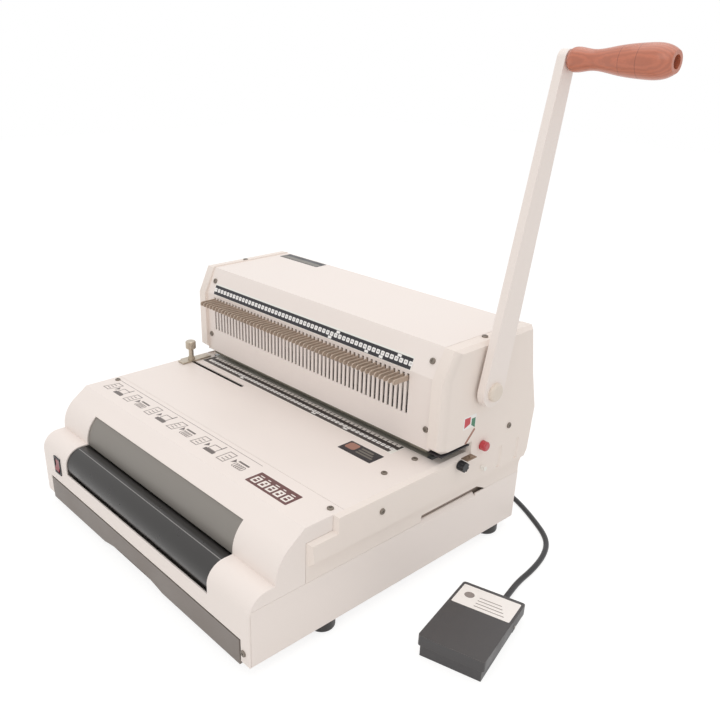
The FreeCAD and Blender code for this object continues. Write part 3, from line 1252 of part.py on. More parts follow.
def roller_pulley():
    """Belt pulley on the roller's shaft."""
    half = BELT_WIDTH / 2
    disc = rod_x(PULLEY_X - half, PULLEY_X + half, ROLLER_Y, ROLLER_Z, ROLLER_PULLEY_RADIUS)
    return disc.cut(rod_x(PULLEY_X - half - 1, PULLEY_X + half + 1, ROLLER_Y, ROLLER_Z, ROLLER_SHAFT_RADIUS))


def motor_pulley():
    """Belt pulley with the motor's shaft."""
    half = BELT_WIDTH / 2
    disc = rod_x(PULLEY_X - half, PULLEY_X + half, MOTOR_Y, MOTOR_Z, MOTOR_PULLEY_RADIUS)
    shaft = rod_x(PULLEY_X - half, PULLEY_X + 16, MOTOR_Y, MOTOR_Z, MOTOR_SHAFT_RADIUS)
    return joined([disc, shaft])


def roller_motor():
    """Geared motor on a foot plate."""
    x0 = PULLEY_X + BELT_WIDTH / 2 + 2
    x1 = x0 + MOTOR_LENGTH
    can = rod_x(x0, x1, MOTOR_Y, MOTOR_Z, MOTOR_RADIUS)
    saddle_top = MOTOR_Z - MOTOR_RADIUS + 10
    saddle = box(x0 + 8, x1 - 8, MOTOR_Y - MOTOR_SADDLE_HALF, MOTOR_Y + MOTOR_SADDLE_HALF, DECK_TOP, saddle_top)
    foot = box(x0 + 4, x1 - 4, MOTOR_Y - MOTOR_FOOT_HALF, MOTOR_Y + MOTOR_FOOT_HALF, DECK_TOP, DECK_TOP + 3)
    bore = rod_x(x0 - 1, PULLEY_X + 17, MOTOR_Y, MOTOR_Z, MOTOR_SHAFT_RADIUS + RUN_GAP)
    return joined([can, saddle, foot]).cut(bore)


def loop_outline(grow):
    """Solid disc-and-strap outline round both pulleys, grown by a distance."""
    half = BELT_WIDTH / 2
    dy = MOTOR_Y - ROLLER_Y
    dz = MOTOR_Z - ROLLER_Z
    length = math.hypot(dy, dz)
    along = math.atan2(dz, dy)
    big = ROLLER_PULLEY_RADIUS + grow
    small = MOTOR_PULLEY_RADIUS + grow
    open_angle = math.acos((big - small) / length)
    ring = []
    for side in (1, -1):
        angle = along + side * open_angle
        root = (ROLLER_Y + big * math.cos(angle), ROLLER_Z + big * math.sin(angle))
        tip = (MOTOR_Y + small * math.cos(angle), MOTOR_Z + small * math.sin(angle))
        ring += [root, tip] if side == 1 else [tip, root]
    return joined([
        prism_x(ring, PULLEY_X - half, PULLEY_X + half),
        rod_x(PULLEY_X - half, PULLEY_X + half, ROLLER_Y, ROLLER_Z, big),
        rod_x(PULLEY_X - half, PULLEY_X + half, MOTOR_Y, MOTOR_Z, small)])


def drive_belt():
    """Belt from the motor to the roller."""
    return loop_outline(TOUCH_GAP + BELT_THICK).cut(loop_outline(TOUCH_GAP))


# Foot pedal

def placed_pedal(shape):
    """Turn a pedal piece and set it on the floor beside the machine."""
    shape.rotate(V(0, 0, 0), Z_AXIS, PEDAL_TURN_DEG)
    shape.translate(V(PEDAL_X, PEDAL_Y, FLOOR_Z))
    return shape


def pedal_base():
    """Open tray with lugs for the hinge pin and a hole for the cord."""
    half_x = PEDAL_WIDTH / 2
    half_y = PEDAL_LENGTH / 2
    tray = box(-half_x, half_x, -half_y, half_y, 0, PEDAL_BASE_HEIGHT)
    inside = half_x - PEDAL_WALL
    tray = tray.cut(box(-inside, inside, -half_y + PEDAL_WALL, half_y - PEDAL_WALL, PEDAL_WALL, PEDAL_BASE_HEIGHT + 1))
    lugs = [
        box(x, x + PEDAL_WALL, PEDAL_PIN_Y - PEDAL_LUG, PEDAL_PIN_Y + PEDAL_LUG, 0, PEDAL_PIN_Z + PEDAL_LUG)
        for x in (-half_x, half_x - PEDAL_WALL)]
    holes = [
        rod_x(-half_x - 1, half_x + 1, PEDAL_PIN_Y, PEDAL_PIN_Z, PEDAL_PIN_RADIUS + RUN_GAP),
        rod_y(CORD_EXIT_X, half_y - PEDAL_WALL - 1, half_y + 1, CORD_EXIT_Z, GLAND_RADIUS + RUN_GAP),
        box(CORD_EXIT_X - GLAND_RADIUS - RUN_GAP, CORD_EXIT_X + GLAND_RADIUS + RUN_GAP,
            half_y - PEDAL_WALL - 1, half_y + 1, CORD_EXIT_Z, PEDAL_BASE_HEIGHT + 1)]
    return placed_pedal(without(joined([tray] + lugs), holes))


def treadle_line(y, drop):
    """Height of the treadle's sloping top at a place along it, less a drop."""
    half_y = PEDAL_LENGTH / 2 + TREADLE_GAP + TREADLE_WALL
    share = (y + half_y) / (2 * half_y)
    return TREADLE_FRONT_HEIGHT + (TREADLE_BACK_HEIGHT - TREADLE_FRONT_HEIGHT) * share - drop


def pedal_treadle():
    """Sloping cap over the pedal's base that the foot presses."""
    half_x = PEDAL_WIDTH / 2 + TREADLE_GAP + TREADLE_WALL
    half_y = PEDAL_LENGTH / 2 + TREADLE_GAP + TREADLE_WALL
    in_x = half_x - TREADLE_WALL
    in_y = half_y - TREADLE_WALL
    cap = prism_x([
        (-half_y, treadle_line(-half_y, TREADLE_SKIRT)), (half_y, treadle_line(half_y, TREADLE_SKIRT)),
        (half_y, treadle_line(half_y, 0)), (-half_y, treadle_line(-half_y, 0))], -half_x, half_x)
    corners = [edge for edge in cap.Edges if edge.BoundBox.XLength < 0.01 and edge.BoundBox.YLength < 0.01]
    cap = cap.makeFillet(TREADLE_CORNER, corners)
    hollow = prism_x([
        (-in_y, 0), (in_y, 0), (in_y, treadle_line(in_y, TREADLE_WALL)),
        (-in_y, treadle_line(-in_y, TREADLE_WALL))], -in_x, in_x)
    corners = [edge for edge in hollow.Edges if edge.BoundBox.XLength < 0.01 and edge.BoundBox.YLength < 0.01]
    hollow = hollow.makeFillet(2, corners)
    ears = [
        box(
            x, x + TREADLE_WALL, PEDAL_PIN_Y - PEDAL_LUG, PEDAL_PIN_Y + PEDAL_LUG,
            PEDAL_PIN_Z - PEDAL_LUG, PEDAL_PIN_Z + PEDAL_LUG)
        for x in (-half_x, in_x)]
    shell = joined([cap.cut(hollow)] + ears)
    pin = rod_x(-half_x - 1, half_x + 1, PEDAL_PIN_Y, PEDAL_PIN_Z, PEDAL_PIN_RADIUS + RUN_GAP)
    notch = box(
        CORD_EXIT_X - GLAND_RADIUS - 1, CORD_EXIT_X + GLAND_RADIUS + 1, in_y - 1, half_y + 1,
        0, CORD_EXIT_Z + GLAND_RADIUS + 1)
    return placed_pedal(without(shell, [pin, notch]))


def pedal_pin():
    """Steel hinge pin through the treadle and the base."""
    half_x = PEDAL_WIDTH / 2 + TREADLE_GAP + TREADLE_WALL
    return placed_pedal(rod_x(-half_x, half_x + 0.8, PEDAL_PIN_Y, PEDAL_PIN_Z, PEDAL_PIN_RADIUS))


def pedal_switch():
    """Small switch inside the pedal that the treadle presses."""
    body = box(-14, 14, -36, -26, PEDAL_WALL, 11)
    plunger = rod_z(-6, -31, 11, 14.5, 1.5)
    return placed_pedal(joined([body, plunger]))


def cord_gland():
    """Tapered strain relief in the pedal's back wall."""
    wall = PEDAL_LENGTH / 2
    flange = rod_y(CORD_EXIT_X, wall - PEDAL_WALL - 2, wall - PEDAL_WALL, CORD_EXIT_Z, GLAND_RADIUS + 1)
    flange = flange.common(box(-50, 50, 0, 100, PEDAL_WALL, 50))
    barrel = rod_y(CORD_EXIT_X, wall - PEDAL_WALL, wall, CORD_EXIT_Z, GLAND_RADIUS)
    cone = Part.makeCone(GLAND_RADIUS, CORD_RADIUS + 0.6, GLAND_LENGTH, V(CORD_EXIT_X, wall, CORD_EXIT_Z), Y_AXIS)
    return placed_pedal(joined([flange, barrel, cone]))


# Pedal cord

def cord_start():
    """Centre of the gland's end face."""
    turn = math.radians(PEDAL_TURN_DEG)
    x = CORD_EXIT_X
    y = PEDAL_LENGTH / 2 + GLAND_LENGTH
    return V(
        PEDAL_X + x * math.cos(turn) - y * math.sin(turn),
        PEDAL_Y + x * math.sin(turn) + y * math.cos(turn), FLOOR_Z + CORD_EXIT_Z)


def pedal_route():
    """Corner points of the cord from the pedal to the coil behind the machine."""
    lie = FLOOR_Z + CORD_RADIUS
    turn = math.radians(PEDAL_TURN_DEG)
    start = cord_start()
    lead = start + V(-math.sin(turn), math.cos(turn), 0) * 18
    seen = [
        (272.2, 101.7), (270.0, 128.6), (264.4, 156.5), (254.4, 180.3), (240.5, 195.9), (219.0, 210.3), (193.0, 225.6)]
    end_y = COIL_Y - COIL_RADIUS - CORD_RADIUS
    hidden = [(168.0, 237.5), (142.0, 243.0), (116.0, 239.5), (93.0, 228.5), (72.0, 217.5)]
    points = [start, V(lead.x, lead.y, lie + 2)]
    points += [V(x, y, lie) for x, y in seen + hidden]
    return points + [V(COIL_X + 14, end_y, lie), V(COIL_X, end_y, lie)]


def tail_route():
    """Corner points of the cord from the coil up to the plug."""
    high = FLOOR_Z + CORD_RADIUS * 5
    start_y = COIL_Y + COIL_RADIUS + CORD_RADIUS
    plug_y = BACK_Y + JACK_NUT + PLUG_GAP + PLUG_LENGTH
    return [
        V(COIL_X, start_y, high), V(COIL_X + 22, start_y, high), V(COIL_X + 42, start_y - 5, high + 4.5),
        V(COIL_X + 59, start_y - 17, high + 12), V(COIL_X + 69, start_y - 35, high + 21),
        V(JACK_X, start_y - 55, JACK_Z), V(JACK_X, plug_y, JACK_Z)]


def rounded_path(points, name):
    """Straight runs joined by tangent arcs."""
    edges = []
    last = points[0]
    radii = []
    for index in range(1, len(points) - 1):
        corner = points[index]
        back = points[index - 1] - corner
        ahead = points[index + 1] - corner
        reach = 0.45 * min(back.Length, ahead.Length)
        half_turn = (math.pi - back.getAngle(ahead)) / 2
        radii.append(reach / math.tan(half_turn))
        back.normalize()
        ahead.normalize()
        first = corner + back * reach
        second = corner + ahead * reach
        middle_line = (back + ahead).normalize()
        depth = radii[-1] * (1 / math.cos(half_turn) - 1)
        edges.append(Part.LineSegment(last, first).toShape())
        edges.append(Part.Arc(first, corner + middle_line * depth, second).toShape())
        last = second
    edges.append(Part.LineSegment(last, points[-1]).toShape())
    path = Part.Wire(edges)
    print(name, "bend radii", [round(radius, 1) for radius in radii], "length", round(path.Length, 1))
    return path


def cord_tube(points, name):
    """Round cord along a route."""
    path = rounded_path(points, name)
    direction = points[1] - points[0]
    section = Part.Wire([Part.makeCircle(CORD_RADIUS, points[0], direction)])
    tube = path.makePipeShell([section], True, True)
    print(name, "volume", round(tube.Volume), "expected", round(math.pi * CORD_RADIUS ** 2 * path.Length))
    return tube


def pedal_cord():
    """The cord's two free runs: from the pedal to the coil and from the coil up to the plug."""
    return group([cord_tube(pedal_route(), "pedal run"), cord_tube(tail_route(), "plug run")])


def cord_coil():
    """The spare cord, wound in a round coil of two columns and three layers."""
    outer = COIL_RADIUS + 2 * CORD_RADIUS
    inner = COIL_RADIUS - 2 * CORD_RADIUS
    height = 6 * CORD_RADIUS
    ring = rod_z(COIL_X, COIL_Y, FLOOR_Z, FLOOR_Z + height, outer)
    ring = ring.cut(rod_z(COIL_X, COIL_Y, FLOOR_Z - 1, FLOOR_Z + height + 1, inner))
    rims = [edge for edge in ring.Edges if len(edge.Vertexes) == 1]
    print("cord_coil turn length", round(2 * math.pi * COIL_RADIUS * 6, 1))
    return ring.makeFillet(CORD_RADIUS * 0.9, rims)


def cord_plug():
    """Plug on the end of the cord, its pin in the jack."""
    y = BACK_Y + JACK_NUT + PLUG_GAP
    body = rod_y(JACK_X, y, y + PLUG_LENGTH, JACK_Z, PLUG_RADIUS)
    rims = [edge for edge in body.Edges if len(edge.Vertexes) == 1]
    body = body.makeFillet(1.2, rims)
    pin = rod_y(JACK_X, BACK_Y - 13, y, JACK_Z, PLUG_PIN_RADIUS)
    return joined([body, pin])


NODES = [
    base_pan, front_cover, top_plate, trough_liner, tower_shell, rear_panel, left_side_cover, right_side_cover,
    left_side_frame, right_side_frame, inner_deck, rubber_feet, die_block, stripper_bar, ram_guides, plain_bushes,
    roller_motor, drive_belt, control_board, power_inlet, pedal_jack, case_screws, plate_ruler, tower_ruler,
    margin_plate, white_post, drive_shaft, drive_pinions, handle_lever, lever_bolt, grip_bolt, wooden_grip,
    ram_beam, punch_holder, punch_pins, drive_racks, first_pull_tab, last_pull_tab, middle_pull_tabs,
    return_springs, chip_drawer, edge_guide, guide_thumb_screw, lock_knob, margin_knob, depth_stop,
    switch_frame, switch_rocker, inserter_roller, roller_shaft, roller_pulley, motor_pulley,
    pedal_base, pedal_treadle, pedal_pin, pedal_switch, cord_gland, pedal_cord, cord_coil, cord_plug,
]


def main():
    """Build every node and write it as a STEP file named after its function."""
    os.makedirs("parts", exist_ok=True)
    for maker in NODES:
        name = maker.__name__
        shape = maker()
        shape.exportStep("parts/" + name + ".step")
        print(name, "solids", len(shape.Solids), "valid", shape.isValid(), "volume", round(shape.Volume))


main()
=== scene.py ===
"""Looks for a desk coil binding machine: finishes, rulers, labels, cord, studio and camera."""

import math

import bmesh
import bpy
from mathutils import Matrix, Vector


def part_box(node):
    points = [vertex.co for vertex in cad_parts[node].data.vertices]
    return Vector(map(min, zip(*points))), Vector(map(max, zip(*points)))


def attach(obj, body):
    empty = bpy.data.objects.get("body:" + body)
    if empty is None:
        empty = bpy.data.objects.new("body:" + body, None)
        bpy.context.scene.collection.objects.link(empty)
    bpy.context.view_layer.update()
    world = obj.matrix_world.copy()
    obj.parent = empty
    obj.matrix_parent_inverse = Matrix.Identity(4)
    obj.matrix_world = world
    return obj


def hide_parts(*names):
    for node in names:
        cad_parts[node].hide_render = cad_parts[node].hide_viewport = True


bl_info = {
    "name": "Coil binding machine looks",
    "version": (1, 0, 0),
    "blender": (4, 5, 0),
    "location": "View3D > Sidebar > Binding machine",
    "description": "Finishes, rulers, labels, cord and studio for a desk coil binding machine",
    "category": "Object",
}

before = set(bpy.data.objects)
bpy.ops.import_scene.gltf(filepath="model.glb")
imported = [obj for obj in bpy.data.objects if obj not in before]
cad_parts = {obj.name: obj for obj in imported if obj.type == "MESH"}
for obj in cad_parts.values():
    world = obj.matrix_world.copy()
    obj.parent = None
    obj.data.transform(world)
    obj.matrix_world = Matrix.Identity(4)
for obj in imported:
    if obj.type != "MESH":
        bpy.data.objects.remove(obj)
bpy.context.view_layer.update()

# Millimetres to metres
MM = 0.001

# Heights and places of the case that the prints sit on, in millimetres
PLATE_TOP = 118.0
TOWER_TOP = 234.0
FACET_FOOT = (44.0, 204.0)
FACET_HEAD = (57.0, 234.0)
SIDE_FACE = 204.5
SLOT_MIDDLE = -8.5
SLOT_PITCH = 6.2865
SLOTS_EACH_SIDE = 26
FLOOR = -12.0

# Thickness of the rulers' film, of a label's film, of a layer of ink on film and of ink on bare paint
FILM_TOP = 0.2
LABEL_FILM = 0.12
PRINT = 0.05
PAINT_INK = 0.08

# Pedal: its middle on the floor, and how far it is turned to the case
PEDAL_MIDDLE = (290.7, 2.0)
PEDAL_TURN = 15.2


def linear(hex_code):
    """Turns an sRGB hex colour into the linear colour that a socket holds."""
    parts = [int(hex_code[i:i + 2], 16) / 255 for i in (1, 3, 5)]
    return [p / 12.92 if p <= 0.04045 else ((p + 0.055) / 1.055) ** 2.4 for p in parts] + [1.0]


def add(tree, kind, inputs=None, **settings):
    """Adds a node with its settings, then gives each input a value or links it to a socket."""
    node = tree.nodes.new(kind)
    for name, value in settings.items():
        setattr(node, name, value)
    for key, value in (inputs or {}).items():
        if isinstance(value, bpy.types.NodeSocket):
            tree.links.new(value, node.inputs[key])
        else:
            node.inputs[key].default_value = value
    return node


# Surfaces by the record's slots and by print. Sizes are millimetres: cloud is the width of the
# slow changes of colour, grain the width of the fine texture, relief its height. Stretch draws
# the grain out along an axis, and wear gives the colour of rubbed edges.
SURFACES = {
    # Powder coated steel, sprayed dry and baked: warm pale satin with a soft orange peel
    "case_paint": dict(name="powder_coated_steel", colour="#F4EAE4", vary=0.035, cloud=90,
                       rough=(0.38, 0.5), grain=1.4, relief=0.02),
    # ABS covers, injection moulded on spark eroded steel: a little greyer and duller than the paint
    "cover_moulding": dict(name="spark_textured_abs", colour="#F3E8E0", vary=0.04, cloud=80,
                           rough=(0.45, 0.58), grain=0.9, relief=0.02),
    # The same ABS where it closes the hand grips, browner and duller with a finer texture: painted shade in
    # the recess
    "painted_shade_moulding": dict(name="grip_wall_painted_shade", colour="#A8998E", vary=0.06, cloud=30,
                            rough=(0.5, 0.62), grain=0.9, relief=0.01),
    # Tool steel die, hardened and lapped: pale grey
    "lapped_steel": dict(name="lapped_die_steel", colour="#B5B1A6", vary=0.12, cloud=9, metallic=0.2,
                         rough=(0.35, 0.5), grain=0.5, relief=0.008, stretch=(0.1, 1.0, 1.0)),
    # Satin enamel in the coil trough: flat grey that takes a broad soft light
    "liner_paint": dict(name="satin_enamelled_liner", colour="#8B8680", vary=0.06, cloud=45,
                        rough=(0.38, 0.5), grain=1.2, relief=0.015),
    # Zinc plated sheet, cut and bent: cool grey with faint spangles
    "zinc_steel": dict(name="zinc_plated_sheet", colour="#B9BCC0", vary=0.14, cloud=7, metallic=1.0,
                       rough=(0.32, 0.48), grain=1.0, relief=0.01, stretch=(0.1, 1.0, 1.0)),
    # Tool steel, surface ground and oiled: dark olive grey with fine lines across
    "dark_steel": dict(name="oiled_tool_steel", colour="#8A867A", vary=0.2, cloud=12, metallic=0.6,
                       rough=(0.3, 0.5), grain=0.6, relief=0.01, stretch=(0.08, 1.0, 1.0),
                       wear="#A9A69C"),
    # Bright steel, ground: clear highlights broken by grinding lines
    "bright_steel": dict(name="ground_bright_steel", colour="#C2BDB8", vary=0.12, cloud=9, metallic=1.0,
                         rough=(0.22, 0.38), grain=0.5, relief=0.008, stretch=(0.1, 1.0, 1.0)),
    # Bronze strip, rolled and gone dull by handling: khaki with brown patches
    "bronze": dict(name="rolled_bronze_strip", colour="#C4B2A2", vary=0.2, cloud=5, metallic=0.4,
                   rough=(0.34, 0.55), grain=0.6, relief=0.01, stretch=(1.0, 0.1, 1.0),
                   wear="#E6DCC4"),
    # Brass turned, nickel plated and worn through: pale beige metal, yellower at the edges
    "nickel": dict(name="worn_nickel_on_brass", colour="#CBC0B0", vary=0.18, cloud=6, metallic=0.85,
                   rough=(0.28, 0.48), grain=0.7, relief=0.01, wear="#E0D2B0"),
    # Rubber, moulded and ground: near black, dull, with a brownish bloom
    "foot_rubber": dict(name="moulded_rubber", colour="#3C3A39", vary=0.22, cloud=14,
                        rough=(0.42, 0.62), grain=0.7, relief=0.02),
    # Roller sleeve, rubber ground smooth: dark with a silky sheen at the edges
    "roller_rubber": dict(name="ground_roller_rubber", colour="#373534", vary=0.15, cloud=20,
                          rough=(0.26, 0.36), grain=0.5, relief=0.01),
    # Painted highlight along the roller: a pale, duller line where the light's reflection falls on the rubber
    "roller_line": dict(name="painted_highlight_on_rubber", colour="#8E8C8A", vary=0.1, cloud=10,
                        rough=(0.4, 0.5), grain=0.5, relief=0.004),
    # Motor case, stove enamelled: dark grey with a low gloss
    "motor_paint": dict(name="stove_enamelled_steel", colour="#55585C", vary=0.1, cloud=20,
                        rough=(0.3, 0.42), grain=1.0, relief=0.012),
    # ABS, moulded black: fine dull grain, never pure black
    "black_plastic": dict(name="moulded_black_abs", colour="#2A2A2D", vary=0.15, cloud=12,
                          rough=(0.36, 0.5), grain=0.6, relief=0.012),
    # ABS or film, smooth white: bright with hardly any texture
    "white_plastic": dict(name="smooth_white_abs", colour="#F2F0EA", vary=0.03, cloud=20,
                          rough=(0.28, 0.36), grain=0.8, relief=0.004),
    # ABS, moulded red in a polished tool: deep red with a clear highlight
    "red_plastic": dict(name="gloss_red_abs", colour="#8E1F2C", vary=0.15, cloud=8,
                        rough=(0.16, 0.26), grain=1.0, relief=0.004, coat=0.4),
    # ABS knob, moulded bright red: smooth, with a clear highlight
    "knob_red": dict(name="gloss_bright_red_abs", colour="#C23A44", vary=0.1, cloud=8,
                     rough=(0.18, 0.28), grain=1.0, relief=0.004, coat=0.3),
    # Steel screws, blackened in oil and rubbed by the driver: brown grey with paler edges
    "blackened_screws": dict(name="oil_blackened_screws", colour="#8C8278", vary=0.2, cloud=3, metallic=0.5,
                             rough=(0.35, 0.5), grain=0.5, relief=0.01, wear="#B5ABA0"),
    # Steel bolt, painted with the lever: pale beige satin
    "painted_bolt": dict(name="painted_bolt_head", colour="#E6DACD", vary=0.06, cloud=8,
                         rough=(0.36, 0.48), grain=0.8, relief=0.015),
    # Steel sheet, yellow passivated and handled: brownish, with a soft metal sheen
    "passivated_sheet": dict(name="passivated_sheet", colour="#A08A78", vary=0.15, cloud=5, metallic=0.7,
                             rough=(0.34, 0.5), grain=0.6, relief=0.01, wear="#D8CDBE"),
    # ABS drawer, moulded warm grey: dull fine grain
    "drawer_plastic": dict(name="moulded_grey_abs", colour="#837A74", vary=0.07, cloud=50,
                           rough=(0.4, 0.55), grain=0.8, relief=0.015),
    # Cast pedal, enamelled dark grey over a fine texture
    "pedal_plastic": dict(name="textured_pedal_enamel", colour="#4C4A4B", vary=0.12, cloud=25,
                          rough=(0.36, 0.52), grain=0.7, relief=0.03, wear="#7C7971"),
    # PVC sheath, extruded: smooth black with a soft shine
    "cord_sheath": dict(name="extruded_pvc_sheath", colour="#2B2A2C", vary=0.15, cloud=18,
                        rough=(0.3, 0.42), grain=0.5, relief=0.006),
    # Films under the labels, polyester: smooth, bright and slightly glossy
    "white_film": dict(name="white_polyester_film", colour="#FBF6F2", vary=0.02, cloud=20,
                       rough=(0.3, 0.4), grain=0.6, relief=0.003),
    "cream_film": dict(name="cream_polyester_film", colour="#F3EBE4", vary=0.03, cloud=20,
                       rough=(0.28, 0.38), grain=0.6, relief=0.003),
}

# Inks, screen printed on film or paint: flat colours, slightly glossy. Each has its material's name,
# its colour, how much that varies, the width of its clouds in millimetres and its roughness.
INKS = {
    "black_ink": ("black_screen_print", "#26242A", 0.15, 15, (0.3, 0.42)),
    "rubbed_ink": ("rubbed_black_screen_print", "#4A4341", 0.15, 6, (0.3, 0.42)),
    "white_ink": ("white_screen_print", "#F6F4F2", 0.03, 15, (0.3, 0.42)),
    "grey_ink": ("grey_screen_print", "#968C88", 0.06, 15, (0.35, 0.45)),
    "dark_grey_ink": ("dark_grey_screen_print", "#6E6562", 0.08, 15, (0.35, 0.45)),
    "brown_ink": ("red_brown_screen_print", "#6A403D", 0.12, 15, (0.3, 0.42)),
    "copper_ink": ("copper_red_screen_print", "#A87868", 0.1, 10, (0.3, 0.42)),
    "olive_ink": ("olive_grey_screen_print", "#77726A", 0.15, 8, (0.3, 0.42)),
    "red_ink": ("red_screen_print", "#C9404A", 0.05, 15, (0.3, 0.42)),
    "green_ink": ("green_screen_print", "#3F7F60", 0.05, 15, (0.3, 0.42)),
}
SURFACES.update({
    key: dict(name=name, colour=colour, vary=vary, cloud=cloud, rough=rough, grain=0.4, relief=0.003)
    for key, (name, colour, vary, cloud, rough) in INKS.items()})


def new_material(name):
    """A new material with its node tree and its shader."""
    material = bpy.data.materials.new(name)
    material.use_nodes = True
    return material, material.node_tree, material.node_tree.nodes["Principled BSDF"]


def surface(key):
    """Gives the material for a slot or a print, and builds it when it is first asked for."""
    build, name = OWN_BUILDERS.get(key) or (plain_surface, SURFACES[key]["name"])
    return bpy.data.materials.get(name) or build(key, name)


def plain_surface(key, name):
    """Builds a material from its row in the table: clouds, fine grain, roughness and worn edges."""
    spec = SURFACES[key]
    material, tree, shader = new_material(name)
    shader.inputs["Metallic"].default_value = spec.get("metallic", 0.0)
    shader.inputs["Coat Weight"].default_value = spec.get("coat", 0.0)
    shader.inputs["Coat Roughness"].default_value = 0.1
    place = add(tree, "ShaderNodeTexCoord").outputs["Object"]
    colour = settings_colour(key) or linear(spec["colour"])
    darker = [c * (1 - spec["vary"]) for c in colour[:3]] + [1.0]
    cloud = add(tree, "ShaderNodeTexNoise",
                {"Vector": place, "Scale": 1 / (spec["cloud"] * MM), "Detail": 4.0})
    tone = add(tree, "ShaderNodeMix", {0: cloud.outputs[0], 6: darker, 7: colour}, data_type="RGBA")
    stretch = spec.get("stretch", (1.0, 1.0, 1.0))
    grained = add(tree, "ShaderNodeMapping", {"Vector": place, "Scale": stretch})
    grain = add(tree, "ShaderNodeTexNoise",
                {"Vector": grained.outputs[0], "Scale": 1 / (spec["grain"] * MM), "Detail": 2.0})
    low, high = spec["rough"]
    polish = add(tree, "ShaderNodeMapRange", {"Value": cloud.outputs[0], "From Min": 0.3, "From Max": 0.7,
                                              "To Min": low, "To Max": high})
    bump = add(tree, "ShaderNodeBump",
               {"Height": grain.outputs[0], "Distance": spec["relief"] * MM, "Strength": 1.0})
    base = tone.outputs[2]
    if "wear" in spec:
        base = worn_edges(tree, base, grain.outputs[0], linear(spec["wear"]))
    tree.links.new(base, shader.inputs["Base Color"])
    tree.links.new(polish.outputs[0], shader.inputs["Roughness"])
    tree.links.new(bump.outputs[0], shader.inputs["Normal"])
    return material


def worn_edges(tree, base, grain, colour):
    """Mixes in a colour where an edge is rubbed, in patches that follow the grain."""
    rounded = add(tree, "ShaderNodeBevel", {"Radius": 0.5 * MM}, samples=4)
    flat = add(tree, "ShaderNodeNewGeometry")
    match = add(tree, "ShaderNodeVectorMath", {0: rounded.outputs[0], 1: flat.outputs["Normal"]},
                operation="DOT_PRODUCT")
    edge = add(tree, "ShaderNodeMapRange",
               {"Value": match.outputs["Value"], "From Min": 0.98, "From Max": 0.8,
                "To Min": 0.0, "To Max": 1.0})
    patchy = add(tree, "ShaderNodeMath", {0: edge.outputs[0], 1: grain}, operation="MULTIPLY")
    worn = add(tree, "ShaderNodeMix", {0: patchy.outputs[0], 6: base, 7: colour}, data_type="RGBA")
    return worn.outputs[2]


def turned_beech(key, name):
    """Beech turned on a lathe, stained red brown and varnished: rings, pores and a clear gloss."""
    material, tree, shader = new_material(name)
    shader.inputs["Coat Weight"].default_value = 0.6
    shader.inputs["Coat Roughness"].default_value = 0.12
    shader.inputs["Roughness"].default_value = 0.42
    place = add(tree, "ShaderNodeTexCoord").outputs["Object"]
    stain = settings_colour(key)
    early = [min(1.0, c * 1.08) for c in stain[:3]] + [1.0]
    late = [c * 0.9 for c in stain[:3]] + [1.0]
    # Growth rings 2.6 mm apart around a heart that lies about 26 mm beside the grip's axis
    ring_width = 2.6 * MM
    heart = add(tree, "ShaderNodeMapping", {"Vector": place, "Location": (0.0, -0.138, -0.466),
                                            "Rotation": (0.0, 0.05, 0.03)})
    rings = add(tree, "ShaderNodeTexWave",
                {"Vector": heart.outputs[0], "Scale": 2 * math.pi / (20 * ring_width), "Distortion": 3.2,
                 "Detail": 3.0, "Detail Scale": 1.5}, wave_type="RINGS", rings_direction="X")
    # Pores 0.5 mm wide and about 12 mm long along the grip
    along = add(tree, "ShaderNodeMapping", {"Vector": place, "Scale": (0.04, 1.0, 1.0)})
    pores = add(tree, "ShaderNodeTexNoise",
                {"Vector": along.outputs[0], "Scale": 1 / (0.5 * MM), "Detail": 3.0})
    mixed = add(tree, "ShaderNodeMath", {0: rings.outputs["Fac"], 1: pores.outputs[0]}, operation="MULTIPLY")
    spread = add(tree, "ShaderNodeMapRange",
                 {"Value": mixed.outputs[0], "From Min": 0.05, "From Max": 0.55,
                  "To Min": 0.0, "To Max": 1.0})
    wood = add(tree, "ShaderNodeMix", {0: spread.outputs[0], 6: late, 7: early}, data_type="RGBA")
    # Painted shade: two fine dark rings, 0.6 mm wide, where two turned grooves would hold shade
    parts = add(tree, "ShaderNodeSeparateXYZ", {0: place})
    shade = wood.outputs[2]
    for x in (266.0, 281.6):
        ring = add(tree, "ShaderNodeMath",
                   {0: parts.outputs["X"], 1: x * MM, 2: 0.3 * MM}, operation="COMPARE")
        faint = add(tree, "ShaderNodeMath", {0: ring.outputs[0], 1: 0.45}, operation="MULTIPLY")
        shade = add(tree, "ShaderNodeMix", {0: faint.outputs[0], 6: shade, 7: linear("#5A2A22")},
                    data_type="RGBA").outputs[2]
    bump = add(tree, "ShaderNodeBump", {"Height": pores.outputs[0], "Distance": 0.015 * MM})
    tree.links.new(shade, shader.inputs["Base Color"])
    tree.links.new(bump.outputs[0], shader.inputs["Normal"])
    return material


def circuit_board(_key, name):
    """Glass fibre board, etched and lacquered: green with paler copper tracks under the lacquer."""
    material, tree, shader = new_material(name)
    shader.inputs["Roughness"].default_value = 0.34
    place = add(tree, "ShaderNodeTexCoord").outputs["Object"]
    # Tracks 1 mm wide and 2.5 mm apart, broken at pads
    tracks = add(tree, "ShaderNodeTexBrick",
                 {"Vector": place, "Scale": 1 / (20 * MM), "Mortar Size": 0.025, "Brick Width": 0.6,
                  "Row Height": 0.125, "Color1": linear("#2C5A3A"), "Color2": linear("#33663F"),
                  "Mortar": linear("#6E9A5A")})
    bump = add(tree, "ShaderNodeBump", {"Height": tracks.outputs["Fac"], "Distance": 0.04 * MM})
    tree.links.new(tracks.outputs["Color"], shader.inputs["Base Color"])
    tree.links.new(bump.outputs[0], shader.inputs["Normal"])
    return material


# Slots with a material of their own kind: what builds it, and its name
OWN_BUILDERS = {"grip_wood": (turned_beech, "varnished_turned_beech"),
                "board": (circuit_board, "lacquered_circuit_board")}


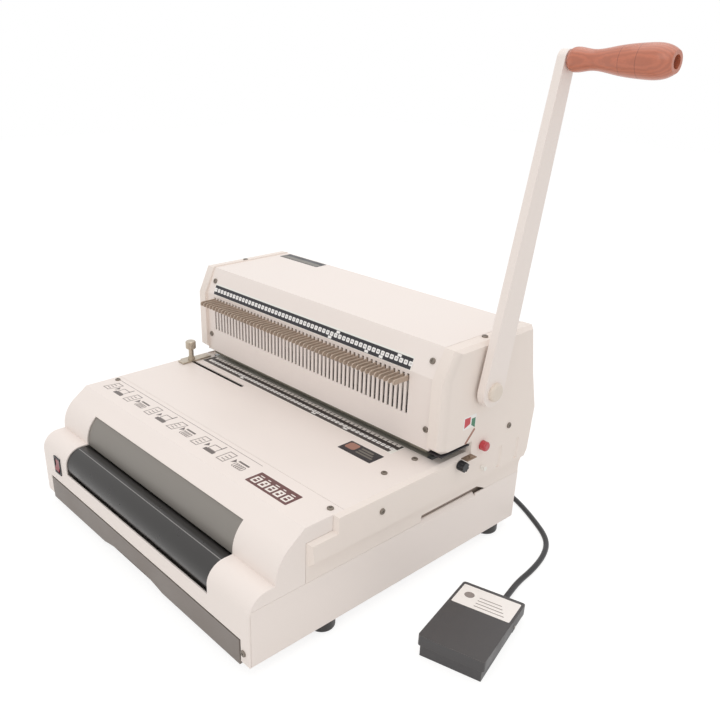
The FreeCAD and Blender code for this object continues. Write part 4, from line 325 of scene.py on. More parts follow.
def settings_colour(key):
    """The colour that the settings hold for a slot, or nothing where they hold none."""
    machine = bpy.context.scene.binding_machine
    chosen = {"case_paint": machine.case_colour, "grip_wood": machine.grip_colour,
              "pedal_plastic": machine.pedal_colour, "cord_sheath": machine.cord_colour}
    return list(chosen[key]) + [1.0] if key in chosen else None


def face(origin, u, v):
    """A frame in millimetres on a surface: u and v lie in it, and w stands out of it."""
    u = Vector(u).normalized()
    v = Vector(v).normalized()
    w = u.cross(v)
    turned = Matrix((u, v, w)).transposed().to_4x4()
    return Matrix.Translation(Vector(origin) * MM) @ turned @ Matrix.Scale(MM, 4)


# Places that the prints are laid out in, as millimetres along u, up v and out of the surface w
PLATE_FACE = face((0, 0, PLATE_TOP), (1, 0, 0), (0, 1, 0))
TOWER_FACE = face((0, 0, TOWER_TOP), (1, 0, 0), (0, 1, 0))
FACET_FACE = face((0, FACET_FOOT[0], FACET_FOOT[1]), (1, 0, 0),
                  (0, FACET_HEAD[0] - FACET_FOOT[0], FACET_HEAD[1] - FACET_FOOT[1]))
RIGHT_FACE = face((SIDE_FACE, 0, 0), (0, 1, 0), (0, 0, 1))


def rounded_outline(u0, u1, v0, v1, radius, steps=4):
    """Points round a rectangle with arcs at its corners, anticlockwise."""
    if radius <= 0:
        return [(u0, v0), (u1, v0), (u1, v1), (u0, v1)]
    points = []
    for u, v, start in ((u1 - radius, v0 + radius, -90), (u1 - radius, v1 - radius, 0),
                        (u0 + radius, v1 - radius, 90), (u0 + radius, v0 + radius, 180)):
        for step in range(steps + 1):
            angle = math.radians(start + 90 * step / steps)
            points.append((u + radius * math.cos(angle), v + radius * math.sin(angle)))
    return points


def add_prism(bm, place, points, w0, w1):
    """Adds a solid with that outline between two heights."""
    low = [bm.verts.new(place @ Vector((u, v, w0))) for u, v in points]
    high = [bm.verts.new(place @ Vector((u, v, w1))) for u, v in points]
    bm.faces.new(high)
    bm.faces.new(low[::-1])
    for i in range(len(points)):
        j = (i + 1) % len(points)
        bm.faces.new((low[i], low[j], high[j], high[i]))


def add_plate(bm, place, u0, u1, v0, v1, w0, w1, radius=0.0):
    """Adds a flat plate with rounded corners."""
    add_prism(bm, place, rounded_outline(u0, u1, v0, v1, radius), w0, w1)


def add_frame(bm, place, outer, inner, w0, w1):
    """Adds a closed frame between an outer and an inner outline that have the same number of points."""
    rings = [[bm.verts.new(place @ Vector((u, v, w))) for u, v in points]
             for points, w in ((outer, w0), (outer, w1), (inner, w1), (inner, w0))]
    for a, b in zip(rings, rings[1:] + rings[:1]):
        for i in range(len(a)):
            j = (i + 1) % len(a)
            bm.faces.new((a[i], a[j], b[j], b[i]))


def add_ring(bm, place, u0, u1, v0, v1, w0, w1, line, radius=0.0):
    """Adds a frame line of a given width just inside a rectangle."""
    inner_radius = max(radius - line, 0.05 if radius else 0)
    outer = rounded_outline(u0, u1, v0, v1, radius)
    inner = rounded_outline(u0 + line, u1 - line, v0 + line, v1 - line, inner_radius)
    add_frame(bm, place, outer, inner, w0, w1)


def add_outline(bm, place, points, w0, w1, line):
    """Adds a frame line just inside a polygon whose corners run anticlockwise."""
    inside = []
    for before, corner, after in zip(points[-1:] + points[:-1], points, points[1:] + points[:1]):
        back = (Vector(before) - Vector(corner)).normalized()
        ahead = (Vector(after) - Vector(corner)).normalized()
        middle = (back + ahead).normalized()
        inside.append(Vector(corner) + middle * line / math.sin(back.angle(ahead) / 2))
    add_frame(bm, place, points, inside, w0, w1)


def add_mark(bm, place, u, half, v0, v1, layer, radius=0.0):
    """Adds one patch of ink on a ruler's film, centred on u, in that layer of print."""
    add_plate(bm, place, u - half, u + half, v0, v1, FILM_TOP + layer * PRINT, FILM_TOP + (layer + 1) * PRINT,
              radius)


def add_number(bm, place, number, u, v, height):
    """Adds a number on a ruler, on its second layer of print."""
    add_text(bm, place, str(number), u, v, height, FILM_TOP + 2 * PRINT, FILM_TOP + 3 * PRINT)


def add_text(bm, place, text, u, v, height, w0, w1):
    """Adds raised characters of that height, centred on a point of the surface."""
    curve = bpy.data.curves.new("characters", "FONT")
    curve.body = text
    curve.size = height / 0.7
    curve.align_x = "CENTER"
    curve.align_y = "CENTER"
    curve.resolution_u = 2
    curve.extrude = (w1 - w0) / 2
    source = bpy.data.objects.new("characters", curve)
    mesh = bpy.data.meshes.new_from_object(source)
    mesh.transform(place @ Matrix.Translation((u, v, (w0 + w1) / 2)))
    bm.from_mesh(mesh)
    bpy.data.objects.remove(source)
    bpy.data.curves.remove(curve)
    bpy.data.meshes.remove(mesh)


def make_piece(name, bm, body, material):
    """Turns a mesh in progress into a piece that rides on a body."""
    mesh = bpy.data.meshes.new(name)
    bm.normal_update()
    bm.to_mesh(mesh)
    bm.free()
    mesh.shade_smooth()
    mesh.set_sharp_from_angle(angle=math.radians(35))
    piece = bpy.data.objects.new(name, mesh)
    bpy.context.scene.collection.objects.link(piece)
    piece.data.materials.append(material)
    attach(piece, body)


def slot_centres():
    """Places of the tower's slots along the machine, from left to right."""
    return [SLOT_MIDDLE + SLOT_PITCH * n for n in range(-SLOTS_EACH_SIDE, SLOTS_EACH_SIDE + 1)]


class BinderSettings(bpy.types.PropertyGroup):
    """Sizes and colours of the dressed machine that a user would change."""

    case_colour: bpy.props.FloatVectorProperty(
        name="Case paint", description="Colour of the powder coat on the case", subtype="COLOR",
        size=3, min=0, max=1, default=linear(SURFACES["case_paint"]["colour"])[:3])
    grip_colour: bpy.props.FloatVectorProperty(
        name="Grip stain", description="Colour of the stain on the wooden grip", subtype="COLOR",
        size=3, min=0, max=1, default=linear("#BE6E52")[:3])
    pedal_colour: bpy.props.FloatVectorProperty(
        name="Pedal enamel", description="Colour of the foot pedal", subtype="COLOR",
        size=3, min=0, max=1, default=linear(SURFACES["pedal_plastic"]["colour"])[:3])
    cord_colour: bpy.props.FloatVectorProperty(
        name="Cord sheath", description="Colour of the pedal's cord", subtype="COLOR",
        size=3, min=0, max=1, default=linear(SURFACES["cord_sheath"]["colour"])[:3])
    edge_round: bpy.props.FloatProperty(
        name="Edge rounding", description="Width of the soft edge on painted and moulded parts",
        unit="LENGTH", default=0.0005, min=0, max=0.002)
    cord_diameter: bpy.props.FloatProperty(
        name="Cord diameter", description="Outside diameter of the pedal's cord", unit="LENGTH",
        default=0.006, min=0.003, max=0.01)


class BinderStageSettings(bpy.types.PropertyGroup):
    """Studio that the machine is shown in."""

    camera_place: bpy.props.FloatVectorProperty(
        name="Camera place", description="Where the camera stands", subtype="TRANSLATION",
        unit="LENGTH", size=3, default=(0.6212, -0.4963, 0.4901))
    camera_turn: bpy.props.FloatVectorProperty(
        name="Camera turn", description="How the camera is turned", subtype="EULER", unit="ROTATION",
        size=3, default=[math.radians(a) for a in (65.1157, -0.542, 48.9172)])
    camera_lens: bpy.props.FloatProperty(
        name="Camera lens", description="Focal length in millimetres on a 36 mm sensor",
        unit="CAMERA", default=39.169, min=10, max=300)
    camera_shift: bpy.props.FloatVectorProperty(
        name="Camera shift", description="Shift of the frame as a share of its width",
        size=2, default=(0.0726, 0.0668))
    floor_width: bpy.props.FloatProperty(
        name="Floor width", description="Width of the square floor", unit="LENGTH",
        default=8.0, min=1, max=50)
    sky_strength: bpy.props.FloatProperty(
        name="Sky strength", description="Even light from all round", default=0.70, min=0, max=2)
    key_power: bpy.props.FloatProperty(
        name="Key power", description="Power of the soft lamp at the front right in watts",
        unit="POWER", default=9.5, min=0, max=500)
    top_power: bpy.props.FloatProperty(
        name="Top power", description="Power of the soft lamp overhead in watts",
        unit="POWER", default=15.0, min=0, max=500)


class BINDER_OT_stage(bpy.types.Operator):
    """Sets the camera, the soft lamps, the pale floor and the white surroundings"""

    bl_idname = "binder.stage"
    bl_label = "Stage"

    def execute(self, context):
        scene = context.scene
        stage = scene.binding_stage
        camera = bpy.data.objects.new("camera", bpy.data.cameras.new("camera"))
        scene.collection.objects.link(camera)
        camera.location = stage.camera_place
        camera.rotation_euler = stage.camera_turn
        camera.data.sensor_width = 36
        camera.data.lens = stage.camera_lens
        camera.data.shift_x = stage.camera_shift[0]
        camera.data.shift_y = stage.camera_shift[1]
        camera.data.clip_start = 0.01
        camera.data.clip_end = 100
        scene.camera = camera
        scene.view_settings.view_transform = "Standard"
        middle = Vector((0.05, 0.0, 0.12))
        for name, place, width, power in (("key_softbox", (0.9, -1.9, 1.9), 1.8, stage.key_power),
                                          ("top_softbox", (0.1, 0.3, 2.3), 2.2, stage.top_power)):
            lamp = bpy.data.lights.new(name, "AREA")
            lamp.shape = "SQUARE"
            lamp.size = width
            lamp.energy = power
            lamp.color = linear("#FFFBF7")[:3]
            holder = bpy.data.objects.new(name, lamp)
            holder.location = place
            holder.rotation_euler = (middle - Vector(place)).to_track_quat("-Z", "Y").to_euler()
            scene.collection.objects.link(holder)
        self.make_floor(scene, stage)
        self.make_surroundings(scene, stage)
        return {"FINISHED"}

    def shown_ray(self, tree):
        """A socket that is 1 for rays that show the surroundings, and 0 for rays that light."""
        path = add(tree, "ShaderNodeLightPath")
        seen = add(tree, "ShaderNodeMath",
                   {0: path.outputs["Is Camera Ray"], 1: path.outputs["Is Glossy Ray"]}, operation="MAXIMUM")
        through = add(tree, "ShaderNodeMath", {0: seen.outputs[0], 1: path.outputs["Is Transmission Ray"]},
                      operation="MAXIMUM")
        return through.outputs[0]

    def make_floor(self, scene, stage):
        """A smooth pale floor that shows white and keeps the machine's shadow."""
        half = stage.floor_width / 2
        bm = bmesh.new()
        corners = ((-half, -half), (half, -half), (half, half), (-half, half))
        bm.faces.new([bm.verts.new((x, y, FLOOR * MM)) for x, y in corners])
        mesh = bpy.data.meshes.new("studio_floor")
        bm.to_mesh(mesh)
        bm.free()
        floor = bpy.data.objects.new("studio_floor", mesh)
        scene.collection.objects.link(floor)
        material, tree, _ = new_material("pale_studio_paper")
        tree.nodes.clear()
        place = add(tree, "ShaderNodeTexCoord").outputs["Object"]
        fibre = add(tree, "ShaderNodeTexNoise", {"Vector": place, "Scale": 400.0})
        tone = add(tree, "ShaderNodeMix", {0: fibre.outputs[0], 6: linear("#F4F3F1"), 7: linear("#F8F7F5")},
                   data_type="RGBA")
        paper = add(tree, "ShaderNodeBsdfDiffuse", {"Color": tone.outputs[2]})
        white = add(tree, "ShaderNodeEmission", {"Color": (1, 1, 1, 1), "Strength": 1.15})
        share = add(tree, "ShaderNodeMath", {0: self.shown_ray(tree), 1: 0.72}, operation="MULTIPLY")
        mixed = add(tree, "ShaderNodeMixShader",
                    {0: share.outputs[0], 1: paper.outputs[0], 2: white.outputs[0]})
        add(tree, "ShaderNodeOutputMaterial", {"Surface": mixed.outputs[0]})
        mesh.materials.append(material)

    def make_surroundings(self, scene, stage):
        """An even sky for light, and plain white wherever it is seen."""
        world = bpy.data.worlds.new("studio_white")
        scene.world = world
        world.use_nodes = True
        tree = world.node_tree
        tree.nodes.clear()
        light = add(tree, "ShaderNodeBackground",
                    {"Color": (1, 1, 1, 1), "Strength": stage.sky_strength})
        white = add(tree, "ShaderNodeBackground", {"Color": (1, 1, 1, 1), "Strength": 1.0})
        mixed = add(tree, "ShaderNodeMixShader",
                    {0: self.shown_ray(tree), 1: light.outputs[0], 2: white.outputs[0]})
        add(tree, "ShaderNodeOutputWorld", {"Surface": mixed.outputs[0]})


class BINDER_OT_finishes(bpy.types.Operator):
    """Gives every part of the frame the finish of its slot"""

    bl_idname = "binder.finishes"
    bl_label = "Finishes"

    # Parts that look different from the rest of their slot
    OWN_FINISH = {"case_screws": "blackened_screws", "lever_bolt": "painted_bolt", "lock_knob": "knob_red",
                  "margin_plate": "passivated_sheet", "inserter_roller": "roller_rubber",
                  "die_block": "lapped_steel"}

    def execute(self, context):
        for name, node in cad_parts.items():
            for holder in node.material_slots:
                slot = self.OWN_FINISH.get(name, holder.material.name.split(".")[0])
                if slot in SURFACES or slot in OWN_BUILDERS:
                    holder.material = surface(slot)
        return {"FINISHED"}


class BINDER_OT_soft_edges(bpy.types.Operator):
    """Rounds the edges of bent sheet and moulded parts a little, so that they catch the light"""

    bl_idname = "binder.soft_edges"
    bl_label = "Soft edges"

    # Share of the edge rounding that each part gets. The slotted tower and the work plate have none:
    # merging their flat faces breaks them.
    PARTS = {"base_pan": 0.8, "front_cover": 0.8, "rear_panel": 0.8,
             "left_side_cover": 2.4, "right_side_cover": 2.4, "trough_liner": 0.6, "chip_drawer": 1.0,
             "handle_lever": 1.2, "pedal_base": 1.2, "pedal_treadle": 1.6, "power_inlet": 0.6,
             "pedal_jack": 0.6, "margin_knob": 0.6, "edge_guide": 0.4, "margin_plate": 0.4,
             "switch_frame": 0.5, "switch_rocker": 0.6, "first_pull_tab": 0.4, "last_pull_tab": 0.4,
             "middle_pull_tabs": 0.4, "depth_stop": 0.4, "white_post": 0.5, "cord_gland": 0.5}

    def execute(self, context):
        width = context.scene.binding_machine.edge_round
        for name, share in self.PARTS.items():
            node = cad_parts[name]
            weld = node.modifiers.new("join_faces", "WELD")
            weld.merge_threshold = 0.00001
            flat = node.modifiers.new("merge_flat_faces", "DECIMATE")
            flat.decimate_type = "DISSOLVE"
            flat.angle_limit = math.radians(0.4)
            bevel = node.modifiers.new("soft_edge", "BEVEL")
            bevel.width = width * share
            bevel.segments = 2
            bevel.limit_method = "ANGLE"
            bevel.angle_limit = math.radians(32)
            bevel.miter_outer = "MITER_ARC"
            shading = node.modifiers.new("flat_shading", "WEIGHTED_NORMAL")
            shading.keep_sharp = False
            shading.weight = 80
        return {"FINISHED"}


class BINDER_OT_tower_ruler(bpy.types.Operator):
    """Prints the numbered row over the tower's slots"""

    bl_idname = "binder.tower_ruler"
    bl_label = "Tower ruler"

    # Places along the machine of the pale patches over and under the numbers, in millimetres
    UPPER_PATCHES = (50.3, 138.7)
    LOWER_PATCHES = (40.4, 95.8, 116.3)

    def execute(self, context):
        ground, blocks, digits = (bmesh.new() for _ in range(3))
        add_plate(ground, FACET_FACE, -174.4, 156.4, 0.6, 12.2, FILM_TOP, FILM_TOP + PRINT, 0.4)
        for number, u in enumerate(slot_centres(), 1):
            add_mark(blocks, FACET_FACE, u, 2.4, 4.1, 8.8, 1, 1.0)
            add_number(digits, FACET_FACE, number, u, 6.5, 1.8)
        # Pale patches in the upper and the lower dark band
        for u in self.UPPER_PATCHES:
            add_mark(blocks, FACET_FACE, u, 2.6, 9.2, 11.8, 1, 0.3)
        for u in self.LOWER_PATCHES:
            add_mark(blocks, FACET_FACE, u, 2.6, 1.0, 3.7, 1, 0.3)
        make_piece("tower_ruler_ground", ground, "machine", surface("black_ink"))
        make_piece("tower_ruler_blocks", blocks, "machine", surface("white_ink"))
        make_piece("tower_ruler_digits", digits, "machine", surface("olive_ink"))
        return {"FINISHED"}


class BINDER_OT_plate_ruler(bpy.types.Operator):
    """Prints the sheet scale on the plate in front of the throat"""

    bl_idname = "binder.plate_ruler"
    bl_label = "Plate ruler"

    # Places along the machine of the pale patches in front of the numbers, in millimetres
    PATCHES = (-100.0, 33.0, 84.0)

    def execute(self, context):
        ground, blocks, digits, ticks = (bmesh.new() for _ in range(4))
        add_plate(ground, PLATE_FACE, -180.0, 154.0, 36.2, 46.2, FILM_TOP, FILM_TOP + PRINT, 0.2)
        add_plate(ground, PLATE_FACE, -180.0, 150.0, 26.6, 36.2, FILM_TOP, FILM_TOP + PRINT, 0.2)
        for number, u in enumerate(slot_centres()[:-1], 1):
            add_mark(blocks, PLATE_FACE, u, 2.6, 31.6, 36.5, 1, 0.9)
            add_number(digits, PLATE_FACE, number, u, 34.0, 1.7)
            add_mark(ticks, PLATE_FACE, u, 2.5, 42.0, 46.0, 1)
        for u in self.PATCHES:
            add_mark(blocks, PLATE_FACE, u, 3.2, 28.4, 31.0, 1, 0.3)
        make_piece("plate_ruler_ticks", ticks, "machine", surface("cream_film"))
        make_piece("plate_ruler_ground", ground, "machine", surface("rubbed_ink"))
        make_piece("plate_ruler_blocks", blocks, "machine", surface("white_ink"))
        make_piece("plate_ruler_digits", digits, "machine", surface("olive_ink"))
        return {"FINISHED"}


class BINDER_OT_labels(bpy.types.Operator):
    """Lays the plain labels on the tower, the plate, the front cover and the rear"""

    bl_idname = "binder.labels"
    bl_label = "Labels"

    # Pieces in the order that they are made, each with its ink or film
    PIECES = (("label_grounds", "black_ink"), ("label_olive_blocks", "olive_ink"),
              ("label_copper_block", "copper_ink"), ("label_pale_blocks", "cream_film"),
              ("working_steps", "grey_ink"), ("working_step_blocks", "dark_grey_ink"),
              ("brown_panel", "brown_ink"))

    # Heights of a label's film and of the two layers of ink on it
    FILM = (0, LABEL_FILM)
    FIRST_INK = (LABEL_FILM, LABEL_FILM + PRINT)
    SECOND_INK = (LABEL_FILM + PRINT, LABEL_FILM + 2 * PRINT)
    # Height of ink that is printed on the paint itself
    ON_PAINT = (0, PAINT_INK)

    # Working steps on the front cover and blocks on the brown panel: how many, where, and how far apart
    STEPS = 6
    FIRST_STEP = -186.0
    STEP_PITCH = 46.5
    PANEL_BLOCKS = 5
    FIRST_BLOCK = 104.5
    BLOCK_PITCH = 11.2

    def execute(self, context):
        inks = {key: bmesh.new() for _, key in self.PIECES}
        self.tower_label(inks)
        self.plate_label(inks)
        for step in range(self.STEPS):
            self.working_step(inks, step)
        add_plate(inks["grey_ink"], PLATE_FACE, -190, 92, -88.6, -88.0, *self.ON_PAINT)
        self.brown_panel(inks)
        self.rating_plate(inks)
        for name, key in self.PIECES:
            make_piece(name, inks[key], "machine", surface(key))
        return {"FINISHED"}

    def tower_label(self, inks):
        """Bare label at the left of the tower's top."""
        add_plate(inks["black_ink"], TOWER_FACE, -180, -107, 156, 174, *self.FILM, 1.2)
        add_plate(inks["olive_ink"], TOWER_FACE, -178, -109, 157.5, 166, *self.FIRST_INK, 0.6)

    def plate_label(self, inks):
        """Bare label beside the guide's slot, with a copper red patch and three plain bars."""
        add_plate(inks["black_ink"], PLATE_FACE, 109, 155, -5, 16, *self.FILM, 0.8)
        add_plate(inks["copper_ink"], PLATE_FACE, 111.5, 125, 1.5, 14, *self.FIRST_INK, 3.0)
        for row in range(3):
            low = 1.0 + 4.4 * row
            add_plate(inks["olive_ink"], PLATE_FACE, 128.5, 151 - 3 * row, low, low + 2.6,
                      *self.FIRST_INK, 0.5)

    def working_step(self, inks, step):
        """One plain working step: a leaning sheet, an arrow, and a machine or a coil in turn."""
        lines, solid = inks["grey_ink"], inks["dark_grey_ink"]
        left = self.FIRST_STEP + step * self.STEP_PITCH
        lean = 4 - 2 * (step % 3)
        sheet = [(left + 1, -113), (left + 13, -113), (left + 13 + lean, -94), (left + 1 + lean, -94)]
        add_outline(lines, PLATE_FACE, sheet, *self.ON_PAINT, 1.1)
        for row in range(3):
            low = -109 + 4.2 * row
            add_plate(lines, PLATE_FACE, left + 5, left + 11, low, low + 1.2, *self.ON_PAINT)
        arrow = [(left + 18, -107), (left + 22.5, -103), (left + 18, -99)]
        add_prism(solid, PLATE_FACE, arrow, *self.ON_PAINT)
        if step % 2:
            # Each turn of the coil lies a little over the one before
            for turn in range(5):
                start, rise = left + 23 + 3 * turn, 0.02 * turn
                add_ring(lines, PLATE_FACE, start, start + 4.6, -111, -103, rise, PAINT_INK + rise, 0.9, 2.2)
            add_plate(solid, PLATE_FACE, left + 23, left + 39, -101, -98.6, *self.ON_PAINT, 0.5)
        else:
            add_plate(solid, PLATE_FACE, left + 23, left + 40, -112, -107, *self.ON_PAINT, 1.0)
            add_ring(lines, PLATE_FACE, left + 25, left + 38, -107, -97, *self.ON_PAINT, 1.1, 1.2)
            add_plate(solid, PLATE_FACE, left + 37, left + 38.4, -99, -91.5, *self.ON_PAINT, 0.4)

    def brown_panel(self, inks):
        """Red brown panel with a row of pale blocks, each with plain marks."""
        brown, pale = inks["brown_ink"], inks["cream_film"]
        add_plate(brown, PLATE_FACE, 101, 161, -117, -96, *self.FILM, 1.0)
        for column in range(self.PANEL_BLOCKS):
            left = self.FIRST_BLOCK + self.BLOCK_PITCH * column
            odd = column % 2
            add_plate(pale, PLATE_FACE, left, left + 8.4, -114, -103.5, *self.FIRST_INK, 0.8)
            add_plate(brown, PLATE_FACE, left + 2.0, left + 6.6 - odd, -112, -109, *self.SECOND_INK, 0.3)
            add_plate(brown, PLATE_FACE, left + 2.6 + odd, left + 6.2, -107.6, -105.4, *self.SECOND_INK, 0.3)
            add_plate(pale, PLATE_FACE, left + 1, left + 7 - 2 * odd, -101.5, -100.3, *self.FIRST_INK, 0.2)

    def rating_plate(self, inks):
        """Bare rating plate at the rear, with a thin border."""
        rear = face((0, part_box("rear_panel")[1].y / MM, 0), (-1, 0, 0), (0, 0, 1))
        add_plate(inks["cream_film"], rear, -40, 40, 66, 100, *self.FILM, 2.0)
        add_ring(inks["grey_ink"], rear, -38, 38, 68, 98, *self.FIRST_INK, 0.5, 1.5)


class BINDER_OT_inner_walls(bpy.types.Operator):
    """Closes the hand grips of the side covers with walls in painted shade, closes the gaps between covers,
    tower and rear panel, and lays a painted shadow under the tower's overhang
    """

    bl_idname = "binder.inner_walls"
    bl_label = "Inner walls"

    # Distances from the middle of the machine that each wall lies between, in millimetres
    GRIP_WALL = (193.0, 194.0)
    SEAM = (187.5, 188.0)
    THROAT_STRIP = (187.5, 204.0)

    # Outlines as (y, z): strips beside the tower, flush with the left cover and set back at the right
    FLUSH_STRIP = [(42.4, 128.5), (45.2, 128.5), (45.2, 203.8), (57.4, 232.2), (175.4, 232.2), (175.4, 235.4),
                   (56.0, 235.4), (42.4, 204.3)]
    DEEP_STRIP = [(45.4, 128.5), (47.4, 128.5), (47.4, 203.2), (59.2, 230.6), (175.4, 230.6), (175.4, 232.6),
                  (58.0, 232.6), (45.4, 203.7)]
    # Inner flange of each cover, where the cover bulges out past the rear panel
    REAR_FLANGE = [(186.5, 64.0), (187.0, 70.5), (196.0, 86.6), (198.0, 113.0), (199.9, 138.0),
                   (188.0, 179.6), (176.3, 233.5), (174.5, 233.5), (186.5, 152.0)]

    def span(self, side, places):
        """Depths under the right face of a wall between two distances from the middle."""
        low, high = sorted(side * place for place in places)
        return low - SIDE_FACE, high - SIDE_FACE

    def execute(self, context):
        walls, seams, strip = (bmesh.new() for _ in range(3))
        for side, outline in ((-1, self.FLUSH_STRIP), (1, self.DEEP_STRIP)):
            add_plate(walls, RIGHT_FACE, 18, 140, 40, 72, *self.span(side, self.GRIP_WALL))
            for shape in (outline, self.REAR_FLANGE):
                add_prism(seams, RIGHT_FACE, shape, *self.span(side, self.SEAM))
        # Painted shadow: a black strip under the tower's overhang at the lever side
        add_plate(strip, RIGHT_FACE, 44.0, 87.0, 126.6, 127.7, *self.span(1, self.THROAT_STRIP))
        make_piece("throat_painted_shadow", strip, "machine", surface("black_ink"))
        # The grip walls' darker colour is painted shade for the hand grip recesses
        make_piece("hand_grip_walls", walls, "machine", surface("painted_shade_moulding"))
        make_piece("tower_seams", seams, "machine", surface("cover_moulding"))
        return {"FINISHED"}


class BINDER_OT_side_marker(bpy.types.Operator):
    """Lays the red and green marker and its slanted slit line on the right side cover"""

    bl_idname = "binder.side_marker"
    bl_label = "Side marker"

    def execute(self, context):
        white, red, green, slit = (bmesh.new() for _ in range(4))
        top = LABEL_FILM + PRINT
        add_plate(white, RIGHT_FACE, 73.5, 93.0, 147.5, 161, 0, LABEL_FILM, 1.2)
        add_prism(red, RIGHT_FACE, [(75, 149), (84, 152), (84, 159.5), (75, 159.5)], LABEL_FILM, top)
        add_prism(green, RIGHT_FACE, [(86, 150), (92, 146), (92, 157), (86, 157)], LABEL_FILM, top)
        slant = [(78.0, 131.5), (80.6, 130.0), (93.4, 143.2), (91.4, 145.4)]
        add_prism(slit, RIGHT_FACE, slant, 0, LABEL_FILM)
        make_piece("marker_film", white, "machine", surface("white_ink"))
        make_piece("marker_red", red, "machine", surface("red_ink"))
        make_piece("marker_green", green, "machine", surface("green_ink"))
        make_piece("marker_slit", slit, "machine", surface("copper_ink"))
        return {"FINISHED"}


class BINDER_OT_roller_line(bpy.types.Operator):
    """Lays a painted highlight: a fine pale line along the roller where the light's reflection falls"""

    bl_idname = "binder.roller_line"
    bl_label = "Roller line"

    # Roller in millimetres, and where the painted highlight line stands at rest, in degrees from the back
    # over the top
    AXIS = (-168.5, 53.0)
    RADIUS = 19.0
    PLACE = 100.0
    # Width of the line, its distance from the roller's ends, and its foot and top over the rubber
    WIDTH = 0.9
    END = 0.5
    HEIGHTS = (-0.2, 0.08)

    def execute(self, context):
        low, high = (corner.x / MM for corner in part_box("inserter_roller"))
        turn = math.radians(self.PLACE)
        out = Vector((0, math.cos(turn), math.sin(turn)))
        foot = Vector((0, *self.AXIS)) + out * self.RADIUS
        place = face(foot, (1, 0, 0), out.cross(Vector((1, 0, 0))))
        line = bmesh.new()
        half = self.WIDTH / 2
        add_plate(line, place, low + self.END, high - self.END, -half, half, *self.HEIGHTS)
        # The pale line is a painted highlight that rides on the roller
        make_piece("roller_painted_highlight", line, "roller", surface("roller_line"))
        return {"FINISHED"}


class BINDER_OT_pedal_label(bpy.types.Operator):
    """Lays the cream label on the rear half of the pedal's treadle"""

    bl_idname = "binder.pedal_label"
    bl_label = "Pedal label"

    # Label on the treadle in its own turned frame, in millimetres
    ACROSS = (-29.0, 29.0)
    ALONG = (14.0, 48.0)
    # Foot and top of its film and of the ink, over the treadle
    FILM = (-0.05, 0.15)
    INK = (0.15, 0.2)

    def execute(self, context):
        turn = Matrix.Rotation(math.radians(PEDAL_TURN), 4, "Z")
        middle = Vector((PEDAL_MIDDLE[0], PEDAL_MIDDLE[1], 0)) * MM
        heights = [self.top_of_treadle(middle + turn @ Vector((0, along, 0)) * MM) for along in self.ALONG]
        rise = (heights[1] - heights[0]) / (self.ALONG[1] - self.ALONG[0])
        base = heights[0] - rise * self.ALONG[0]
        u = turn @ Vector((1, 0, 0))
        v = turn @ Vector((0, 1, rise / MM))
        place = face((PEDAL_MIDDLE[0], PEDAL_MIDDLE[1], base / MM), u, v)
        film, mark = bmesh.new(), bmesh.new()
        add_plate(film, place, *self.ACROSS, *self.ALONG, *self.FILM, 1.5)
        turns = [math.radians(10 * step) for step in range(36)]
        dot = [(-18 + 5 * math.cos(turn), 33 + 5 * math.sin(turn)) for turn in turns]
        add_prism(mark, place, dot, *self.INK)
        for row in range(4):
            add_plate(mark, place, -8, 22 - 2.5 * row, 18.5 + 5 * row, 19.6 + 5 * row, *self.INK, 0.3)
        make_piece("pedal_label_film", film, "treadle", surface("white_film"))
        make_piece("pedal_label_print", mark, "treadle", surface("grey_ink"))
        return {"FINISHED"}

    def top_of_treadle(self, point):
        """Height of the treadle's top over a point of the floor."""
        hit, place, _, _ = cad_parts["pedal_treadle"].ray_cast((point.x, point.y, 1.0), (0, 0, -1))
        if not hit:
            raise RuntimeError("the pedal's label lies beside its treadle")
        return place.z


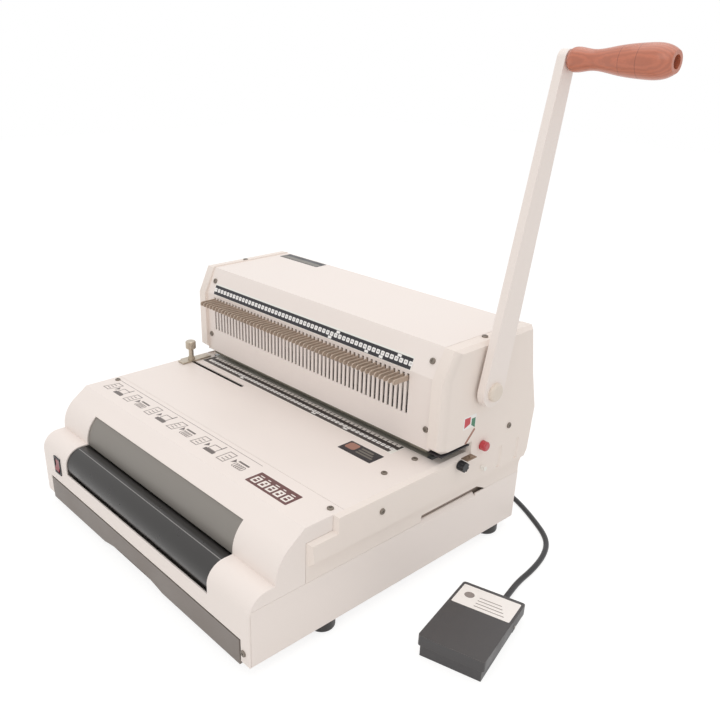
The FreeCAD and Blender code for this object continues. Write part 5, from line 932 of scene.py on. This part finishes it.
class BINDER_OT_cord(bpy.types.Operator):
    """Lays the pedal's cord along its route, through its coil and into its plug"""

    bl_idname = "binder.cord"
    bl_label = "Pedal cord"

    # Route of the cord in millimetres, from the pedal's gland to the coil
    TO_COIL = [(283.21, 60.07, -5.5), (278.5, 77.4, -7.0), (272.2, 101.7, -9.0), (270.0, 128.6, -9.0),
               (264.4, 156.5, -9.0), (254.4, 180.3, -9.0), (240.5, 195.9, -9.0), (219.0, 210.3, -9.0),
               (193.0, 225.6, -9.0), (168.0, 237.5, -9.0), (142.0, 243.0, -9.0), (116.0, 239.5, -9.0),
               (93.0, 228.5, -9.0), (72.0, 217.5, -9.0), (52.0, 213.0, -9.0), (38.0, 213.0, -9.0)]
    # From the coil up to the plug in the case
    FROM_COIL = [(38.0, 291.0, 3.0), (60.0, 291.0, 3.0), (80.0, 286.0, 7.5), (97.0, 274.0, 15.0),
                 (107.0, 256.0, 24.0), (110.0, 236.0, 30.0), (110.0, 216.0, 30.0)]
    COIL_MIDDLE = (38.0, 252.0)
    OUTER_TURN = 39.0
    INNER_TURN = 33.0
    LAYERS = (-9.0, -3.0, 3.0)
    POINTS_PER_TURN = 16

    def coil_points(self):
        """Two turns in each of three layers: in on the first, out on the second, in on the third."""
        points = []
        radii = (self.OUTER_TURN, self.INNER_TURN, self.INNER_TURN, self.OUTER_TURN,
                 self.OUTER_TURN, self.INNER_TURN)
        count = len(radii) * self.POINTS_PER_TURN
        for step in range(2, count + self.POINTS_PER_TURN // 2 - 1):
            turn = min(step / self.POINTS_PER_TURN, len(radii) - 0.001)
            here = int(turn)
            later = min(here + 1, len(radii) - 1)
            share = turn - here
            blend = max(0.0, (share - 0.7) / 0.3)
            radius = radii[here] + (radii[later] - radii[here]) * blend
            layer, next_layer = self.LAYERS[here // 2], self.LAYERS[later // 2]
            height = layer + (next_layer - layer) * blend
            angle = math.radians(-90) - 2 * math.pi * step / self.POINTS_PER_TURN
            points.append((self.COIL_MIDDLE[0] + radius * math.cos(angle),
                           self.COIL_MIDDLE[1] + radius * math.sin(angle), height))
        return points

    def execute(self, context):
        diameter = context.scene.binding_machine.cord_diameter
        route = self.TO_COIL + self.coil_points() + self.FROM_COIL
        curve = bpy.data.curves.new("pedal_cord_line", "CURVE")
        curve.dimensions = "3D"
        curve.bevel_depth = diameter / 2
        curve.bevel_resolution = 4
        curve.resolution_u = 6
        line = curve.splines.new("NURBS")
        line.points.add(len(route) - 1)
        for point, (x, y, z) in zip(line.points, route):
            point.co = (x * MM, y * MM, z * MM, 1)
        line.order_u = 3
        line.use_endpoint_u = True
        cord = bpy.data.objects.new("pedal_cord_laid", curve)
        context.scene.collection.objects.link(cord)
        curve.materials.append(surface("cord_sheath"))
        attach(cord, "machine")
        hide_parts("pedal_cord", "cord_coil")
        return {"FINISHED"}


class BINDER_PT_sidebar(bpy.types.Panel):
    """Lists the pieces and the studio in the 3D view's sidebar"""

    bl_idname = "BINDER_PT_sidebar"
    bl_label = "Binding machine"
    bl_space_type = "VIEW_3D"
    bl_region_type = "UI"
    bl_category = "Binding machine"

    def draw(self, context):
        for settings in (context.scene.binding_machine, context.scene.binding_stage):
            for name in settings.bl_rna.properties.keys():
                if name not in ("rna_type", "name"):
                    self.layout.prop(settings, name)
        for operator in OPERATORS:
            self.layout.operator(operator.bl_idname)


OPERATORS = (BINDER_OT_stage, BINDER_OT_cord, BINDER_OT_finishes, BINDER_OT_soft_edges, BINDER_OT_tower_ruler,
             BINDER_OT_plate_ruler, BINDER_OT_labels, BINDER_OT_inner_walls, BINDER_OT_side_marker,
             BINDER_OT_roller_line, BINDER_OT_pedal_label)
CLASSES = (BinderSettings, BinderStageSettings, *OPERATORS, BINDER_PT_sidebar)


def register():
    """Adds the classes and their settings to Blender."""
    for item in CLASSES:
        bpy.utils.register_class(item)
    bpy.types.Scene.binding_machine = bpy.props.PointerProperty(type=BinderSettings)
    bpy.types.Scene.binding_stage = bpy.props.PointerProperty(type=BinderStageSettings)


def unregister():
    """Takes the classes and their settings out again."""
    del bpy.types.Scene.binding_stage
    del bpy.types.Scene.binding_machine
    for item in reversed(CLASSES):
        bpy.utils.unregister_class(item)


def main():
    """Builds the stage and every piece in order."""
    register()
    for operator in OPERATORS:
        group, name = operator.bl_idname.split(".")
        getattr(getattr(bpy.ops, group), name)()


if __name__ == "__main__":
    main()
